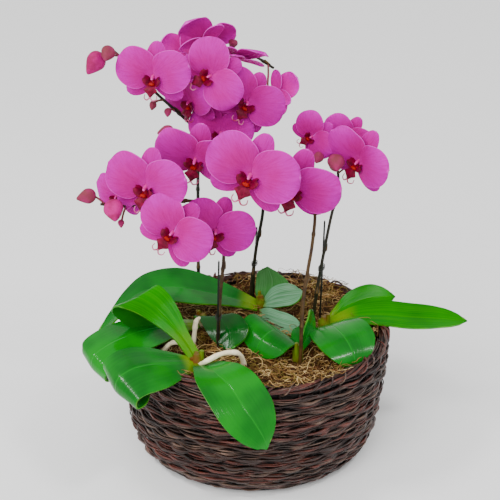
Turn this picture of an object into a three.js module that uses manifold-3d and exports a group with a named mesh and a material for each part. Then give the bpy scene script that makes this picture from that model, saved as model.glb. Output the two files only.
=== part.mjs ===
// Moth orchids planted in a round woven basket: five plants with folded leaves and flower
// spikes, set in a growing medium under dried moss. Millimetres, +Z up, the origin at the
// middle of the basket's flat base; the front of the arrangement faces -Y.
import * as THREE from "three";
import { mergeVertices } from "three/addons/utils/BufferGeometryUtils.js";
import Module from "manifold-3d";

const wasm = await Module();
wasm.setup();

// Driving dimensions
const BASKET_HEIGHT = 132;
const RIM_RADIUS = 146;
const BASE_RADIUS = 110;
const LEAN = 6.5;
const LEAN_START = 8;
const LEAN_END = 82;
const WALL = 9;
const FLOOR = 7;
const COURSES = 12;
const STAKE_PAIRS = 20;
const WEAVE_DEPTH = 2.4;
const RIM_CORD = 6.5;
const MOSS_EDGE = 124;
const MOSS_CROWN = 12;
const MOSS_BOTTOM = 100;
const GAP = 0.35;
const PETAL_THICKNESS = 1.4;
const LEAF_THICKNESS = 2.2;
const STEM_RADIUS = 2.2;
const PEDICEL_RADIUS = 1.2;
const STANDARD_SPAN = 95;

const COLOURS = {
  basket: 0x4a332b,
  rim: 0x5c3830,
  medium: 0x3b2a1d,
  moss: 0x9a7b4d,
  leaf: 0x0f7a12,
  paleLeaf: 0x5f8a5c,
  freshLeaf: 0x3f9a12,
  crown: 0x7f8f3a,
  root: 0xcfc09a,
  stem: 0x2c3320,
  stake: 0x14130f,
  petal: 0xe81fa8,
  lip: 0xa8063a,
};

const vector = (p) => new THREE.Vector3(...p);
const radians = THREE.MathUtils.degToRad;
const clamp = THREE.MathUtils.clamp;

// A closed three.js geometry as a solid that can be joined and cut.
function solidOf(geometry) {
  const bare = geometry.clone();
  for (const name of Object.keys(bare.attributes)) {
    if (name !== "position") bare.deleteAttribute(name);
  }
  const merged = mergeVertices(bare, 1e-4);
  const corners = merged.index.array;
  const kept = [];
  for (let i = 0; i < corners.length; i += 3) {
    const [a, b, c] = corners.slice(i, i + 3);
    if (a !== b && b !== c && c !== a) kept.push(a, b, c);
  }
  return new wasm.Manifold(
    new wasm.Mesh({
      numProp: 3,
      vertProperties: new Float32Array(merged.attributes.position.array),
      triVerts: new Uint32Array(kept),
    }),
  );
}

function geometryOf(solid) {
  const mesh = solid.getMesh();
  return new THREE.BufferGeometry()
    .setAttribute("position", new THREE.BufferAttribute(mesh.vertProperties.slice(), 3))
    .setIndex(new THREE.BufferAttribute(mesh.triVerts.slice(), 1));
}

const join = (solids) => wasm.Manifold.union(solids);

function largestPiece(solid) {
  const pieces = solid.decompose();
  return pieces.reduce((best, piece) => (piece.volume() > best.volume() ? piece : best));
}

// The solid and the same solid with its surface moved outwards, to cut a neighbour clear of it.
function grown(solid, distance) {
  const geometry = geometryOf(solid);
  geometry.computeVertexNormals();
  const { position, normal } = geometry.attributes;
  for (let i = 0; i < position.count; i++) {
    position.setXYZ(
      i,
      position.getX(i) + normal.getX(i) * distance,
      position.getY(i) + normal.getY(i) * distance,
      position.getZ(i) + normal.getZ(i) * distance,
    );
  }
  const swollen = new wasm.Manifold(
    new wasm.Mesh({
      numProp: 3,
      vertProperties: position.array,
      triVerts: new Uint32Array(geometry.index.array),
    }),
  );
  return join([solid, swollen]);
}

// A thin closed blade round a middle surface: surface(s, t) with s from 0 to 1 along it and
// t from -1 to 1 across it. It is full thickness inside and sharp at its outline.
function blade(surface, thickness, along, columns) {
  const rows = along.length - 1;
  const step = 0.01;
  const points = [];
  const upper = [];
  const lower = [];
  for (let i = 0; i <= rows; i++) {
    upper.push([]);
    lower.push([]);
    for (let j = 0; j <= columns; j++) {
      const s = along[i];
      const t = (2 * j) / columns - 1;
      const middle = surface(s, t);
      const outline = i === 0 || i === rows || j === 0 || j === columns;
      if (outline) {
        upper[i].push(points.push(middle) - 1);
        lower[i].push(upper[i][j]);
        continue;
      }
      const alongIt = surface(s + step, t).sub(surface(s - step, t));
      const acrossIt = surface(s, t + step).sub(surface(s, t - step));
      const half = alongIt.cross(acrossIt).setLength(thickness / 2);
      upper[i].push(points.push(middle.clone().add(half)) - 1);
      lower[i].push(points.push(middle.clone().sub(half)) - 1);
    }
  }
  const corners = [];
  const addFace = (grid, i, j, turned) => {
    const [a, b, c, d] = [grid[i][j], grid[i + 1][j], grid[i + 1][j + 1], grid[i][j + 1]];
    const rising = i < rows / 2 === j < columns / 2;
    const faces = rising ? [[a, b, c], [a, c, d]] : [[a, b, d], [b, c, d]];
    for (const [p, q, r] of faces) corners.push(...(turned ? [p, r, q] : [p, q, r]));
  };
  for (let i = 0; i < rows; i++) {
    for (let j = 0; j < columns; j++) {
      addFace(upper, i, j, false);
      addFace(lower, i, j, true);
    }
  }
  return new wasm.Manifold(
    new wasm.Mesh({
      numProp: 3,
      vertProperties: new Float32Array(points.flatMap((p) => p.toArray())),
      triVerts: new Uint32Array(corners),
    }),
  );
}

// A round bar of a few sides along a smooth curve through the points.
function rod(points, radius, steps, sides) {
  const outline = new THREE.Shape();
  for (let i = 0; i < sides; i++) {
    const turn = (2 * Math.PI * i) / sides;
    const [x, y] = [radius * Math.cos(turn), radius * Math.sin(turn)];
    if (i === 0) outline.moveTo(x, y);
    else outline.lineTo(x, y);
  }
  outline.closePath();
  const extrudePath = new THREE.CatmullRomCurve3(points, false, "centripetal");
  return solidOf(new THREE.ExtrudeGeometry(outline, { steps, extrudePath, curveSegments: 1 }));
}

// Basket: a woven tub, with each course of weavers raised from the wall and passing in and
// out between the upright stakes.
const WALL_PROFILE = new THREE.SplineCurve([
  new THREE.Vector2(BASE_RADIUS, 0),
  new THREE.Vector2(129, 8),
  new THREE.Vector2(141, 30),
  new THREE.Vector2(145, 60),
  new THREE.Vector2(146, 96),
  new THREE.Vector2(RIM_RADIUS, BASKET_HEIGHT),
]);

function wallRadius(height) {
  const share = clamp(height / BASKET_HEIGHT, 0, 1);
  let [low, high] = [0, 1];
  for (let i = 0; i < 24; i++) {
    const middle = (low + high) / 2;
    if (WALL_PROFILE.getPoint(middle).y < share * BASKET_HEIGHT) low = middle;
    else high = middle;
  }
  return WALL_PROFILE.getPoint(low).x;
}

// The basket's lower part stands a little to the left of its rim.
function leaned(solid) {
  return solid.warp((point) => {
    point[0] -= LEAN * THREE.MathUtils.smoothstep(BASKET_HEIGHT - point[2], LEAN_START, LEAN_END);
  });
}

function basketBody() {
  const courseHeight = BASKET_HEIGHT / COURSES;
  const profile = [new THREE.Vector2(0, 0), new THREE.Vector2(BASE_RADIUS, 0)];
  for (let row = 1; row <= 2 * COURSES; row++) {
    const height = (row * courseHeight) / 2;
    profile.push(new THREE.Vector2(wallRadius(height), height));
  }
  for (const height of [BASKET_HEIGHT, 60, 20, FLOOR]) {
    profile.push(new THREE.Vector2(wallRadius(height) - WALL - 3, height));
  }
  profile.push(new THREE.Vector2(0, FLOOR));
  const turned = new THREE.LatheGeometry(profile, 2 * STAKE_PAIRS).rotateX(Math.PI / 2);
  const { position } = turned.attributes;
  for (let i = 0; i < position.count; i++) {
    const [x, y, z] = [position.getX(i), position.getY(i), position.getZ(i)];
    const radius = Math.hypot(x, y);
    const isOutside = radius > wallRadius(z) - 1 && z > 1 && z < BASKET_HEIGHT - 1;
    if (!isOutside) continue;
    const course = Math.floor(z / courseHeight);
    const isCrest = Math.round((2 * z) / courseHeight) % 2 === 1;
    const turn = Math.atan2(y, x);
    const weave = Math.cos(turn * STAKE_PAIRS + Math.PI * course);
    const raised = (isCrest ? 1 + 0.9 * weave : -0.5) * WEAVE_DEPTH;
    position.setXY(i, x * (1 + raised / radius), y * (1 + raised / radius));
  }
  return leaned(solidOf(turned));
}

// The border: three thick twigs twisted round each other along the rim.
function basketRim() {
  const [sides, steps, strands, twists] = [7, 52, 3, 13];
  const ring = new THREE.TorusGeometry(RIM_RADIUS - 3, RIM_CORD, sides, steps);
  const { position } = ring.attributes;
  for (let i = 0; i < position.count; i++) {
    const [x, y, z] = [position.getX(i), position.getY(i), position.getZ(i)];
    const turn = Math.atan2(y, x);
    const out = Math.hypot(x, y) - (RIM_RADIUS - 3);
    const round = Math.atan2(z, out);
    const swell = 1 + 0.16 * Math.cos(strands * round - twists * turn);
    const radius = RIM_RADIUS - 3 + out * swell;
    position.setXYZ(i, radius * Math.cos(turn), radius * Math.sin(turn), z * swell);
  }
  return solidOf(ring.translate(0, 0, BASKET_HEIGHT + RIM_CORD * 1.16 + GAP));
}

// Growing medium and moss: a plug that fills the basket, and a rough low mound over it.
function mediumPlug() {
  const fit = (height) => new THREE.Vector2(wallRadius(height) - WALL - 5.5, height);
  const low = FLOOR + GAP;
  const high = MOSS_BOTTOM - GAP;
  const profile = [new THREE.Vector2(0, low), fit(low), fit(40), fit(high)];
  profile.push(new THREE.Vector2(0, high));
  return leaned(solidOf(new THREE.LatheGeometry(profile, 20).rotateX(Math.PI / 2)));
}

function mossHeight(x, y) {
  const out = Math.hypot(x, y) / RIM_RADIUS;
  const mound = MOSS_EDGE + MOSS_CROWN * (1 - out * out);
  const lumps = Math.sin(x / 11 + 1.3) * Math.cos(y / 9) + Math.sin((x + y) / 17 + 0.5);
  return mound + 2.2 * lumps;
}

function mossMound() {
  const edge = wallRadius(MOSS_BOTTOM) - WALL - 5.5;
  const rings = [1, 0.8, 0.55, 0.28, 0];
  const profile = [new THREE.Vector2(0, MOSS_BOTTOM), new THREE.Vector2(edge, MOSS_BOTTOM)];
  for (const ring of rings) profile.push(new THREE.Vector2(ring * edge, MOSS_EDGE));
  const turned = new THREE.LatheGeometry(profile, 20).rotateX(Math.PI / 2);
  const { position } = turned.attributes;
  for (let i = 0; i < position.count; i++) {
    if (position.getZ(i) < MOSS_EDGE - 1) continue;
    position.setZ(i, mossHeight(position.getX(i), position.getY(i)));
  }
  return leaned(solidOf(turned));
}

// Crowns: the short stem of each plant, whose foot stands in the moss, with the thick pale
// roots that grow out of it and arch over the moss.
const CROWNS = {
  front: { at: [-69, -84], top: 152, radius: 9, shoots: [], roots: [
    [[-67, -86, 138], [-58, -104, 154], [-41, -98, 160], [-24, -90, 156], [-16, -76, 130]],
    [[-68, -78, 138], [-82, -52, 147], [-97, -50, 148], [-112, -44, 130]],
  ] },
  left: { at: [-66, 14], top: 152, radius: 8, shoots: [], roots: [
    [[-66, 10, 138], [-68, -2, 152], [-72, -12, 156], [-76, -24, 130]],
  ] },
  back: { at: [2, 58], top: 154, radius: 7, shoots: [], roots: [] },
  centre: { at: [42, -62], top: 152, radius: 7, roots: [], shoots: [
    { width: 22, channel: 0.1, across: [[0.3, 0.1, -0.9]],
      spine: [[44, -58, 142], [52, -46, 154], [58, -28, 162], [60, -8, 166]] },
    { width: 18, channel: 0.1, across: [[0.9, -0.3, 0.1]], spine: [[42, -56, 142], [44, -42, 152],
      [45, -28, 156]] },
  ] },
  right: { at: [75, 11], top: 150, radius: 8, shoots: [], roots: [] },
};

function crownSolid({ at: [x, y], top, radius, roots, shoots }) {
  const foot = MOSS_EDGE - 20;
  const profile = [
    new THREE.Vector2(0, foot),
    new THREE.Vector2(radius * 0.7, foot),
    new THREE.Vector2(radius, top - 12),
    new THREE.Vector2(radius * 0.5, top),
    new THREE.Vector2(0, top),
  ];
  const stem = solidOf(
    new THREE.LatheGeometry(profile, 6).rotateX(Math.PI / 2).translate(x, y, 0),
  );
  const rootRods = roots.map((points) => rod(points.map(vector), 2.3, 6, 4));
  return join([stem, ...rootRods, ...shoots.map(leafSolid)]);
}

// Leaves: each follows a spine of points from its crown to its tip. across points to its
// right-hand edge, seen from above with the tip ahead; two directions turn it on the way.
// channel is how far the edges stand above the midrib, as a share of the half width.
const LEAVES = [
  { name: "leaf_front_hanging", width: 60, channel: 0.12,
    across: [[-0.86, -0.4, 0.1], [-0.7, -0.3, -0.62]],
    spine: [[-66, -88, 142], [-56, -108, 150], [-44, -130, 152], [-32, -148, 148], [-17, -166, 135],
      [-2, -177, 119], [9, -182, 104], [13, -183, 97]] },
  { name: "leaf_front_folded", width: 70, channel: -0.18, across: [[-0.3, 0.9, 0.3], [-0.68, 0.68, 0.26]],
    spine: [[-72, -88, 142], [-96, -106, 151], [-119, -119, 156], [-138, -129, 155],
      [-150, -136, 148], [-151, -137, 137], [-141, -130, 130], [-122, -119, 131]] },
  { name: "leaf_front_rising", width: 58, outline: "spoon", channel: 0.1,
    across: [[0.85, 0.5, 0.1], [0.7, 0.66, 0.26]],
    spine: [[-71, -79, 144], [-86, -66, 163], [-104, -54, 182], [-121, -47, 196], [-135, -44, 202],
      [-140, -38, 195], [-134, -28, 180], [-121, -20, 159], [-106, -16, 141]] },
  { name: "leaf_left_folded", width: 62, channel: -0.1, across: [[-0.3, 0.95, 0.02], [-0.6, 0.74, 0.26]],
    spine: [[-72, 8, 142], [-104, -18, 151], [-140, -48, 157], [-168, -72, 155], [-182, -84, 147],
      [-183, -86, 136], [-172, -78, 130], [-154, -67, 132]] },
  { name: "leaf_left_broad", width: 54, channel: 0.08, across: [[-0.85, 0.3, -0.2]],
    spine: [[-66, 8, 142], [-58, -2, 156], [-46, -14, 161], [-37, -32, 156], [-34, -44, 146],
      [-35, -50, 140]] },
  { name: "leaf_back_arching", width: 62, channel: 0.14, across: [[0.1, 0.97, 0.22]],
    spine: [[-2, 54, 142], [-34, 50, 156], [-70, 44, 168], [-104, 34, 178], [-137, 18, 179],
      [-157, 0, 170], [-170, -18, 160], [-181, -30, 152]] },
  { name: "leaf_back_upright", width: 40, channel: 0.14, across: [[0.97, -0.1, -0.15]],
    spine: [[4, 60, 140], [13, 68, 152], [16, 76, 165], [11, 82, 178]] },
  { name: "leaf_back_bowed", width: 70, channel: 0.03, across: [[-0.7, 0.68, 0.18]],
    spine: [[27, -22, 136], [25, -26, 147], [20, -33, 155], [13, -40, 158], [5, -48, 155],
      [-1, -53, 147], [-4, -56, 136]] },
  { name: "leaf_back_right", width: 32, channel: 0.12, across: [[0.1, -0.85, -0.5]],
    spine: [[5, 56, 144], [18, 46, 157], [34, 37, 165], [50, 33, 169]] },
  { name: "leaf_back_low", width: 34, channel: 0.12, across: [[0, -0.93, -0.36]],
    spine: [[1, 44, 138], [12, 20, 143], [28, 4, 144], [49, -4, 144]] },
  { name: "leaf_right_rolled", width: 66, channel: 0.03, across: [[-0.92, -0.3, -0.14]],
    spine: [[77, 6, 140], [80, -12, 151], [86, -35, 158], [94, -56, 158], [101, -72, 150],
      [104, -79, 141], [102, -80, 134]] },
  { name: "leaf_right_long", width: 44, channel: 0.16, across: [[0, -0.97, -0.25]],
    spine: [[78, 14, 138], [108, 16, 148], [142, 14, 151], [174, 6, 152], [208, -2, 154],
      [235, -6, 153]] },
  { name: "leaf_right_fresh", width: 34, channel: 0.14, across: [[0.1, -0.75, -0.66]],
    spine: [[80, 22, 139], [104, 40, 149], [131, 52, 154], [159, 57, 153]] },
];

const LEAF_OUTLINES = {
  broad: [[0, 0.32], [0.12, 0.5], [0.32, 0.86], [0.58, 1], [0.8, 0.88], [0.93, 0.56], [1, 0.16]],
  spoon: [[0, 0.26], [0.18, 0.34], [0.36, 0.66], [0.6, 1], [0.8, 0.9], [0.93, 0.56], [1, 0.16]],
};

function outlineWidth(outline, s) {
  const place = clamp(s, 0, 1);
  const next = Math.max(1, outline.findIndex(([at]) => at >= place));
  const [[s0, w0], [s1, w1]] = [outline[next - 1], outline[next]];
  const share = (place - s0) / (s1 - s0);
  const eased = share * share * (3 - 2 * share);
  return w0 + (w1 - w0) * (0.5 * share + 0.5 * eased);
}

function leafSurface({ spine, across, width, channel, outline = "broad" }) {
  const curve = new THREE.CatmullRomCurve3(spine.map(vector), false, "centripetal");
  const length = curve.getLength();
  const [first, last] = [across[0], across.at(-1)].map((p) => vector(p).normalize());
  return (s, t) => {
    const at = clamp(s, 0, 1);
    const tangent = curve.getTangentAt(at);
    const side = first.clone().lerp(last, at).normalize();
    const face = side.clone().cross(tangent).normalize();
    const half = (width / 2) * outlineWidth(LEAF_OUTLINES[outline], at);
    const tipRound = 3 * Math.max(at - 0.9, 0) * 10 * (1 - t * t);
    return curve
      .getPointAt(at)
      .addScaledVector(side, half * t)
      .addScaledVector(face, channel * half * (Math.abs(t) - 0.5))
      .addScaledVector(tangent, (s - at) * length + tipRound);
  };
}

function leafSolid(leaf) {
  const surface = leafSurface(leaf);
  const length = new THREE.CatmullRomCurve3(leaf.spine.map(vector)).getLength();
  const rows = Math.max(5, Math.round(length / 22));
  const along = Array.from({ length: rows + 1 }, (_, i) => Math.sin((i / rows) * 1.5) / Math.sin(1.5));
  return blade(surface, LEAF_THICKNESS, along, 4);
}

// Blooms: each stands in its own frame, x to its right, y to its dorsal sepal and z to the
// way it faces. yaw turns it to +X, pitch up and roll anticlockwise as its viewer sees it.
const BLOOMS = [
  { name: "high_1", spike: "left_high", at: [-113, 0, 441],
    yaw: -14, pitch: 6, roll: -3, span: 76, lip: true },
  { name: "high_2", spike: "left_high", at: [-53, 2, 441],
    yaw: -10, pitch: 12, roll: -64, span: 73, lip: true },
  { name: "high_3", spike: "left_high", at: [-15, 16, 407],
    yaw: 14, pitch: 10, roll: -36, span: 75, lip: true },
  { name: "high_4", spike: "left_high", at: [-75, 20, 407],
    yaw: -40, pitch: -2, roll: 8, span: 66, lip: true },
  { name: "top_1", spike: "back_high", at: [-60, 66, 463],
    yaw: 200, pitch: 35, roll: 22, span: 64, lip: false },
  { name: "top_2", spike: "back_high", at: [-80, 62, 448],
    yaw: -150, pitch: -10, roll: 0, span: 60, lip: false },
  { name: "top_3", spike: "back_high", at: [-22, 62, 444],
    yaw: 165, pitch: 62, roll: 0, span: 60, lip: false },
  { name: "top_4", spike: "back_high", at: [19, 64, 404],
    yaw: 145, pitch: -20, roll: 112, span: 50, lip: false },
  { name: "top_5", spike: "back_high", at: [-43, 16, 372],
    yaw: -4, pitch: 16, roll: -8, span: 66, lip: false },
  { name: "low_1", spike: "left_low", at: [-120, -50, 335],
    yaw: -20, pitch: 8, roll: -5, span: 86, lip: true },
  { name: "low_2", spike: "left_low", at: [-92, -76, 293],
    yaw: -12, pitch: 16, roll: -36, span: 79, lip: true },
  { name: "low_3", spike: "left_low", at: [-49, -30, 276],
    yaw: 10, pitch: 6, roll: -24, span: 78, lip: false },
  { name: "low_4", spike: "left_low", at: [-154, -12, 309],
    yaw: -46, pitch: 4, roll: 10, span: 62, lip: false },
  { name: "middle_1", spike: "centre", at: [-69, -14, 354],
    yaw: -14, pitch: -12, roll: -12, span: 84, lip: true },
  { name: "middle_2", spike: "centre", at: [-10, -50, 348],
    yaw: -12, pitch: 10, roll: -20, span: 96, lip: true },
  { name: "middle_3", spike: "centre", at: [37, -22, 324],
    yaw: -12, pitch: -8, roll: -18, span: 93, lip: true },
  { name: "right_1", spike: "right", at: [58, 34, 362],
    yaw: -15, pitch: 10, roll: -56, span: 52, lip: true },
  { name: "right_2", spike: "right", at: [110, 12, 341],
    yaw: -36, pitch: 4, roll: -22, span: 78, lip: true, cup: 0.16 },
  { name: "right_3", spike: "right", at: [98, 52, 354],
    yaw: -15, pitch: 0, roll: -30, span: 56, lip: false },
];

const PETAL = { start: 0.026, length: 0.54, half: 0.3, tilt: 23, narrow: 0.1, blunt: 0.24 };
const SEPAL = { start: 0.026, length: 0.46, half: 0.145, narrow: 0.2, blunt: 0.2 };
const LATERAL_SPREAD = 56;
const PETAL_LAYER = 0.024;
const PETAL_CUP = 0.06;
const LIP_SCALE = 1.15;

function ovalWidth(s, narrow, blunt) {
  const round = Math.pow(1 - Math.pow(Math.abs(2 * clamp(s, 0, 1) ** 0.9 - 1), 2.2), 0.45);
  return Math.max(round, s < 0.5 ? narrow : blunt);
}

// One petal or sepal as a surface: it leaves the middle of the bloom at an angle from +x.
function tepalSurface(span, shape, angle, side, relief) {
  const turn = radians(angle);
  const outwards = new THREE.Vector3(Math.cos(turn), Math.sin(turn), 0);
  const across = new THREE.Vector3(-Math.sin(turn), Math.cos(turn), 0).multiplyScalar(side);
  return (s, t) => {
    const reach = shape.start + (shape.length - shape.start) * s + 0.03 * s * s * (1 - t * t);
    const half = span * shape.half * ovalWidth(s, shape.narrow, shape.blunt);
    return new THREE.Vector3()
      .addScaledVector(outwards, span * reach)
      .addScaledVector(across, half * t)
      .setZ(span * relief(s, t));
  };
}

const petalRelief = (s, t, cup) =>
  0.02 + 0.07 * Math.sin(2.4 * s) - 0.05 * s * s - 0.05 * s * t * t + cup * s;
const sepalRelief = (s, t) => -0.012 - 0.05 * s * s + 0.03 * s * (1 - s) - 0.02 * t * t;

function tepals(span, cup) {
  const petalRows = [0, 0.16, 0.45, 0.78, 1];
  const sepalRows = [0, 0.4, 0.78, 1];
  const petal = (angle, side) => {
    const relief = (s, t) => petalRelief(s, t, cup) + (side > 0 ? PETAL_LAYER : 0);
    return blade(tepalSurface(span, PETAL, angle, side, relief), PETAL_THICKNESS, petalRows, 3);
  };
  const sepal = (angle) =>
    blade(tepalSurface(span, SEPAL, angle, 1, sepalRelief), PETAL_THICKNESS, sepalRows, 2);
  return [
    petal(PETAL.tilt, 1),
    petal(180 - PETAL.tilt, -1),
    sepal(90),
    sepal(270 - LATERAL_SPREAD),
    sepal(270 + LATERAL_SPREAD),
  ];
}

function bloomSolid({ span, cup = PETAL_CUP }) {
  const k = span / STANDARD_SPAN;
  const profile = [[0, -5], [4.8, 0.5], [2.8, 5], [0, 11]];
  const column = new THREE.LatheGeometry(profile.map(([r, z]) => new THREE.Vector2(r * k, z * k)), 5);
  return join([...tepals(span, cup), solidOf(column.rotateX(Math.PI / 2))]);
}

// The lip, one blade: behind, a side lobe stands up on each side of the column; in front, the
// middle lobe narrows to a tip with two tendrils.
const LIP_WIDTHS = [[0, 2.2], [0.28, 9.5], [0.5, 4.2], [0.74, 7.2], [1, 2.4]];
const LIP_ROWS = [0, 0.28, 0.5, 0.74, 1];

function lipSolid(span, columns) {
  const k = (LIP_SCALE * span) / STANDARD_SPAN;
  const middle = new THREE.CatmullRomCurve3([
    [0, -4.6, 2.8], [0, -8, 5.5], [0, -11.5, 11], [0, -16, 14], [0, -23, 12],
  ].map(vector));
  const surface = (s, t) => {
    const lobe = Math.max(0, 1 - Math.abs(s - 0.28) / 0.22);
    const half = outlineWidth(LIP_WIDTHS, s);
    const lift = vector([half * t, lobe * 8 * t * t, lobe * (2.5 + 3.5 * t * t) - t * t]);
    const beyond = vector([0, clamp(s, 0, 1) - s, 0]);
    return middle.getPoint(clamp(s, 0, 1)).add(lift).add(beyond).multiplyScalar(k);
  };
  return blade(surface, 1.2, LIP_ROWS, columns);
}

function tendrils(span) {
  const k = (LIP_SCALE * span) / STANDARD_SPAN;
  const half = [[4, -26, 12], [8, -24, 9], [7.5, -19, 8]];
  const mirrored = half.map(([x, y, z]) => [-x, y, z]).reverse();
  const points = [...mirrored, [0, -22, 12.3], ...half];
  return rod(points.map((p) => vector(p).multiplyScalar(k)), 0.7 * k, 6, 3);
}

function bloomFrame({ at, yaw, pitch, roll }) {
  const [turn, rise, spin] = [yaw, pitch, roll].map(radians);
  const normal = new THREE.Vector3(
    Math.sin(turn) * Math.cos(rise), -Math.cos(turn) * Math.cos(rise), Math.sin(rise),
  );
  const level = new THREE.Vector3(Math.cos(turn), Math.sin(turn), 0);
  const upright = normal.clone().cross(level);
  const right = level.clone().multiplyScalar(Math.cos(spin)).addScaledVector(upright, Math.sin(spin));
  const dorsal = normal.clone().cross(right);
  return new THREE.Matrix4().makeBasis(right, dorsal, normal).setPosition(vector(at));
}

// Spikes: the flower stems, with a pedicel to each bloom and a bud at each given place.
const SPIKES = {
  left_high: {
    path: [[-12, 70, 112], [-10, 70, 150], [-4, 66, 210], [4, 52, 272], [-4, 38, 318], [-28, 30, 344],
      [-66, 26, 370], [-91, 24, 394], [-112, 24, 414], [-140, 28, 444], [-158, 26, 462]],
    buds: [[-177, 14, 452, 18], [-162, 6, 464, 13], [-116, 8, 406, 7], [-100, 12, 397, 7]],
  },
  back_high: {
    path: [[-73, 88, 112], [-73, 88, 150], [-73, 84, 209], [-72, 80, 257], [-71, 78, 303],
      [-66, 80, 360], [-56, 84, 410], [-38, 90, 436], [-11, 94, 438], [16, 96, 422]],
    buds: [[-30, 84, 454, 9]],
  },
  left_low: {
    path: [[-48, -38, 112], [-47, -38, 150], [-44, -34, 200], [-40, -24, 244], [-42, -8, 276],
      [-56, -2, 294], [-80, -8, 302], [-109, -18, 304], [-134, -26, 304], [-156, -34, 306],
      [-172, -38, 310]],
    buds: [[-186, -40, 320, 14], [-156, -54, 309, 18], [-150, -44, 290, 6]],
  },
  centre: {
    path: [[44, -72, 112], [45, -70, 150], [47, -64, 209], [52, -54, 240], [57, -38, 264],
      [60, -14, 294], [52, 2, 322], [32, 8, 340], [-6, 10, 348], [-46, 8, 352], [-78, 6, 362],
      [-92, 2, 372]],
    buds: [[-102, 4, 378, 12]],
  },
  right: {
    path: [[61, 16, 112], [63, 17, 150], [68, 18, 193], [74, 22, 230], [80, 26, 264], [86, 32, 292],
      [88, 40, 318], [78, 48, 338]],
    buds: [[83, 4, 341, 16], [64, 14, 344, 10]],
  },
};

function pedicel(curve, end, approach) {
  let nearest = 0;
  for (let i = 0; i <= 100; i++) {
    const isNearer = curve.getPointAt(i / 100).distanceTo(approach) <
      curve.getPointAt(nearest).distanceTo(approach);
    if (isNearer) nearest = i / 100;
  }
  const start = curve.getPointAt(Math.max(nearest - 0.02, 0));
  const reach = start.distanceTo(approach);
  const middle = start.clone().lerp(approach, 0.5).add(new THREE.Vector3(0, 0, reach * 0.1));
  const points = reach > 6 ? [start, middle, approach, end] : [start, end];
  return rod(points, PEDICEL_RADIUS, 3, 3);
}

function spikeSolid(name) {
  const { path, buds } = SPIKES[name];
  const points = path.map(vector);
  const curve = new THREE.CatmullRomCurve3(points, false, "centripetal");
  const solids = [rod(points, STEM_RADIUS, 15, 5)];
  for (const bloom of BLOOMS.filter(({ spike }) => spike === name)) {
    const frame = bloomFrame(bloom);
    const end = new THREE.Vector3(0, 0, -3).applyMatrix4(frame);
    const approach = new THREE.Vector3(0, -2, -15).applyMatrix4(frame);
    solids.push(pedicel(curve, end, approach));
  }
  for (const [x, y, z, size] of buds) {
    const centre = new THREE.Vector3(x, y, z);
    const bud = new THREE.SphereGeometry(size * 0.62, 5, 4).scale(1.3, 1, 1.35).translate(x, y, z);
    solids.push(solidOf(bud), pedicel(curve, centre, centre.clone().add(new THREE.Vector3(0, 6, 0))));
  }
  return join(solids);
}

// Support wires that the stems are clipped to.
const STAKES = {
  left: [[-50, -46, 20], [-45, -44, 246]],
  back: [[-13, 78, 20], [-3, 74, 236]],
  right: [[68, 24, 20], [74, 31, 262]],
};

function stakeSolid([foot, top]) {
  const [from, to] = [vector(foot), vector(top)];
  const direction = to.clone().sub(from);
  const turn = new THREE.Quaternion().setFromUnitVectors(
    new THREE.Vector3(0, 1, 0), direction.clone().normalize(),
  );
  const middle = from.clone().add(to).multiplyScalar(0.5);
  const bar = new THREE.CylinderGeometry(1.1, 1.1, direction.length(), 6);
  return solidOf(bar.applyQuaternion(turn).translate(...middle.toArray()));
}

// Assembly: pieces are placed in order, and each is cut clear of the ones before it.
const placed = [];

function boxesMeet(a, b) {
  const [p, q] = [a.boundingBox(), b.boundingBox()];
  return [0, 1, 2].every((k) => p.min[k] < q.max[k] && q.min[k] < p.max[k]);
}

function place(name, solid, colour, { frame = new THREE.Matrix4(), group }) {
  let cut = solid;
  for (const other of placed) {
    if (boxesMeet(cut, other.grown)) cut = cut.subtract(other.grown);
  }
  const kept = largestPiece(cut);
  placed.push({ name, grown: grown(kept, GAP * 1.3) });
  const geometry = geometryOf(kept).applyMatrix4(frame.clone().invert());
  geometry.computeVertexNormals();
  const material = new THREE.MeshStandardMaterial({ color: colour, roughness: 0.5, metalness: 0 });
  const mesh = new THREE.Mesh(geometry, material);
  mesh.name = name;
  mesh.applyMatrix4(frame);
  group.add(mesh);
}

const arrangement = new THREE.Group();
const groups = {};
for (const name of ["basket", "spikes", "crowns", "leaves", "blooms"]) {
  groups[name] = new THREE.Group();
  arrangement.add(groups[name]);
}

place("basket_body", basketBody(), COLOURS.basket, { group: groups.basket });
place("basket_rim", basketRim(), COLOURS.rim, { group: groups.basket });
for (const [name, ends] of Object.entries(STAKES)) {
  place(`stake_${name}`, stakeSolid(ends), COLOURS.stake, { group: groups.spikes });
}
for (const name of Object.keys(SPIKES)) {
  place(`spike_${name}`, spikeSolid(name), COLOURS.stem, { group: groups.spikes });
}
for (const [name, crown] of Object.entries(CROWNS)) {
  place(`crown_${name}`, crownSolid(crown), COLOURS.crown, { group: groups.crowns });
}
for (const leaf of LEAVES) {
  const frame = new THREE.Matrix4().setPosition(vector(leaf.spine[0]));
  place(leaf.name, leafSolid(leaf), COLOURS.leaf, { frame, group: groups.leaves });
}
for (const bloom of BLOOMS) {
  const frame = bloomFrame(bloom);
  const seated = (solid) => solid.transform(frame.elements);
  const petals = bloom.lip
    ? bloomSolid(bloom)
    : join([bloomSolid(bloom), lipSolid(bloom.span, 2).translate(0, 1, 0)]);
  place(`bloom_${bloom.name}`, seated(petals), COLOURS.petal, { frame, group: groups.blooms });
  if (!bloom.lip) continue;
  const lip = join([lipSolid(bloom.span, 4), tendrils(bloom.span)]);
  place(`lip_${bloom.name}`, seated(lip), COLOURS.lip, { frame, group: groups.blooms });
}
place("growing_medium", mediumPlug(), COLOURS.medium, { group: groups.basket });
place("moss_top", mossMound(), COLOURS.moss, { group: groups.basket });

export default arrangement;
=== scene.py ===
"""Moth orchids planted in a round woven basket: the looks of every piece.

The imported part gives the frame. Each class here builds one sub-assembly in that frame, in
millimetres that become metres when a mesh is written, and stands for the plain solids it names.
"""

from __future__ import annotations

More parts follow.
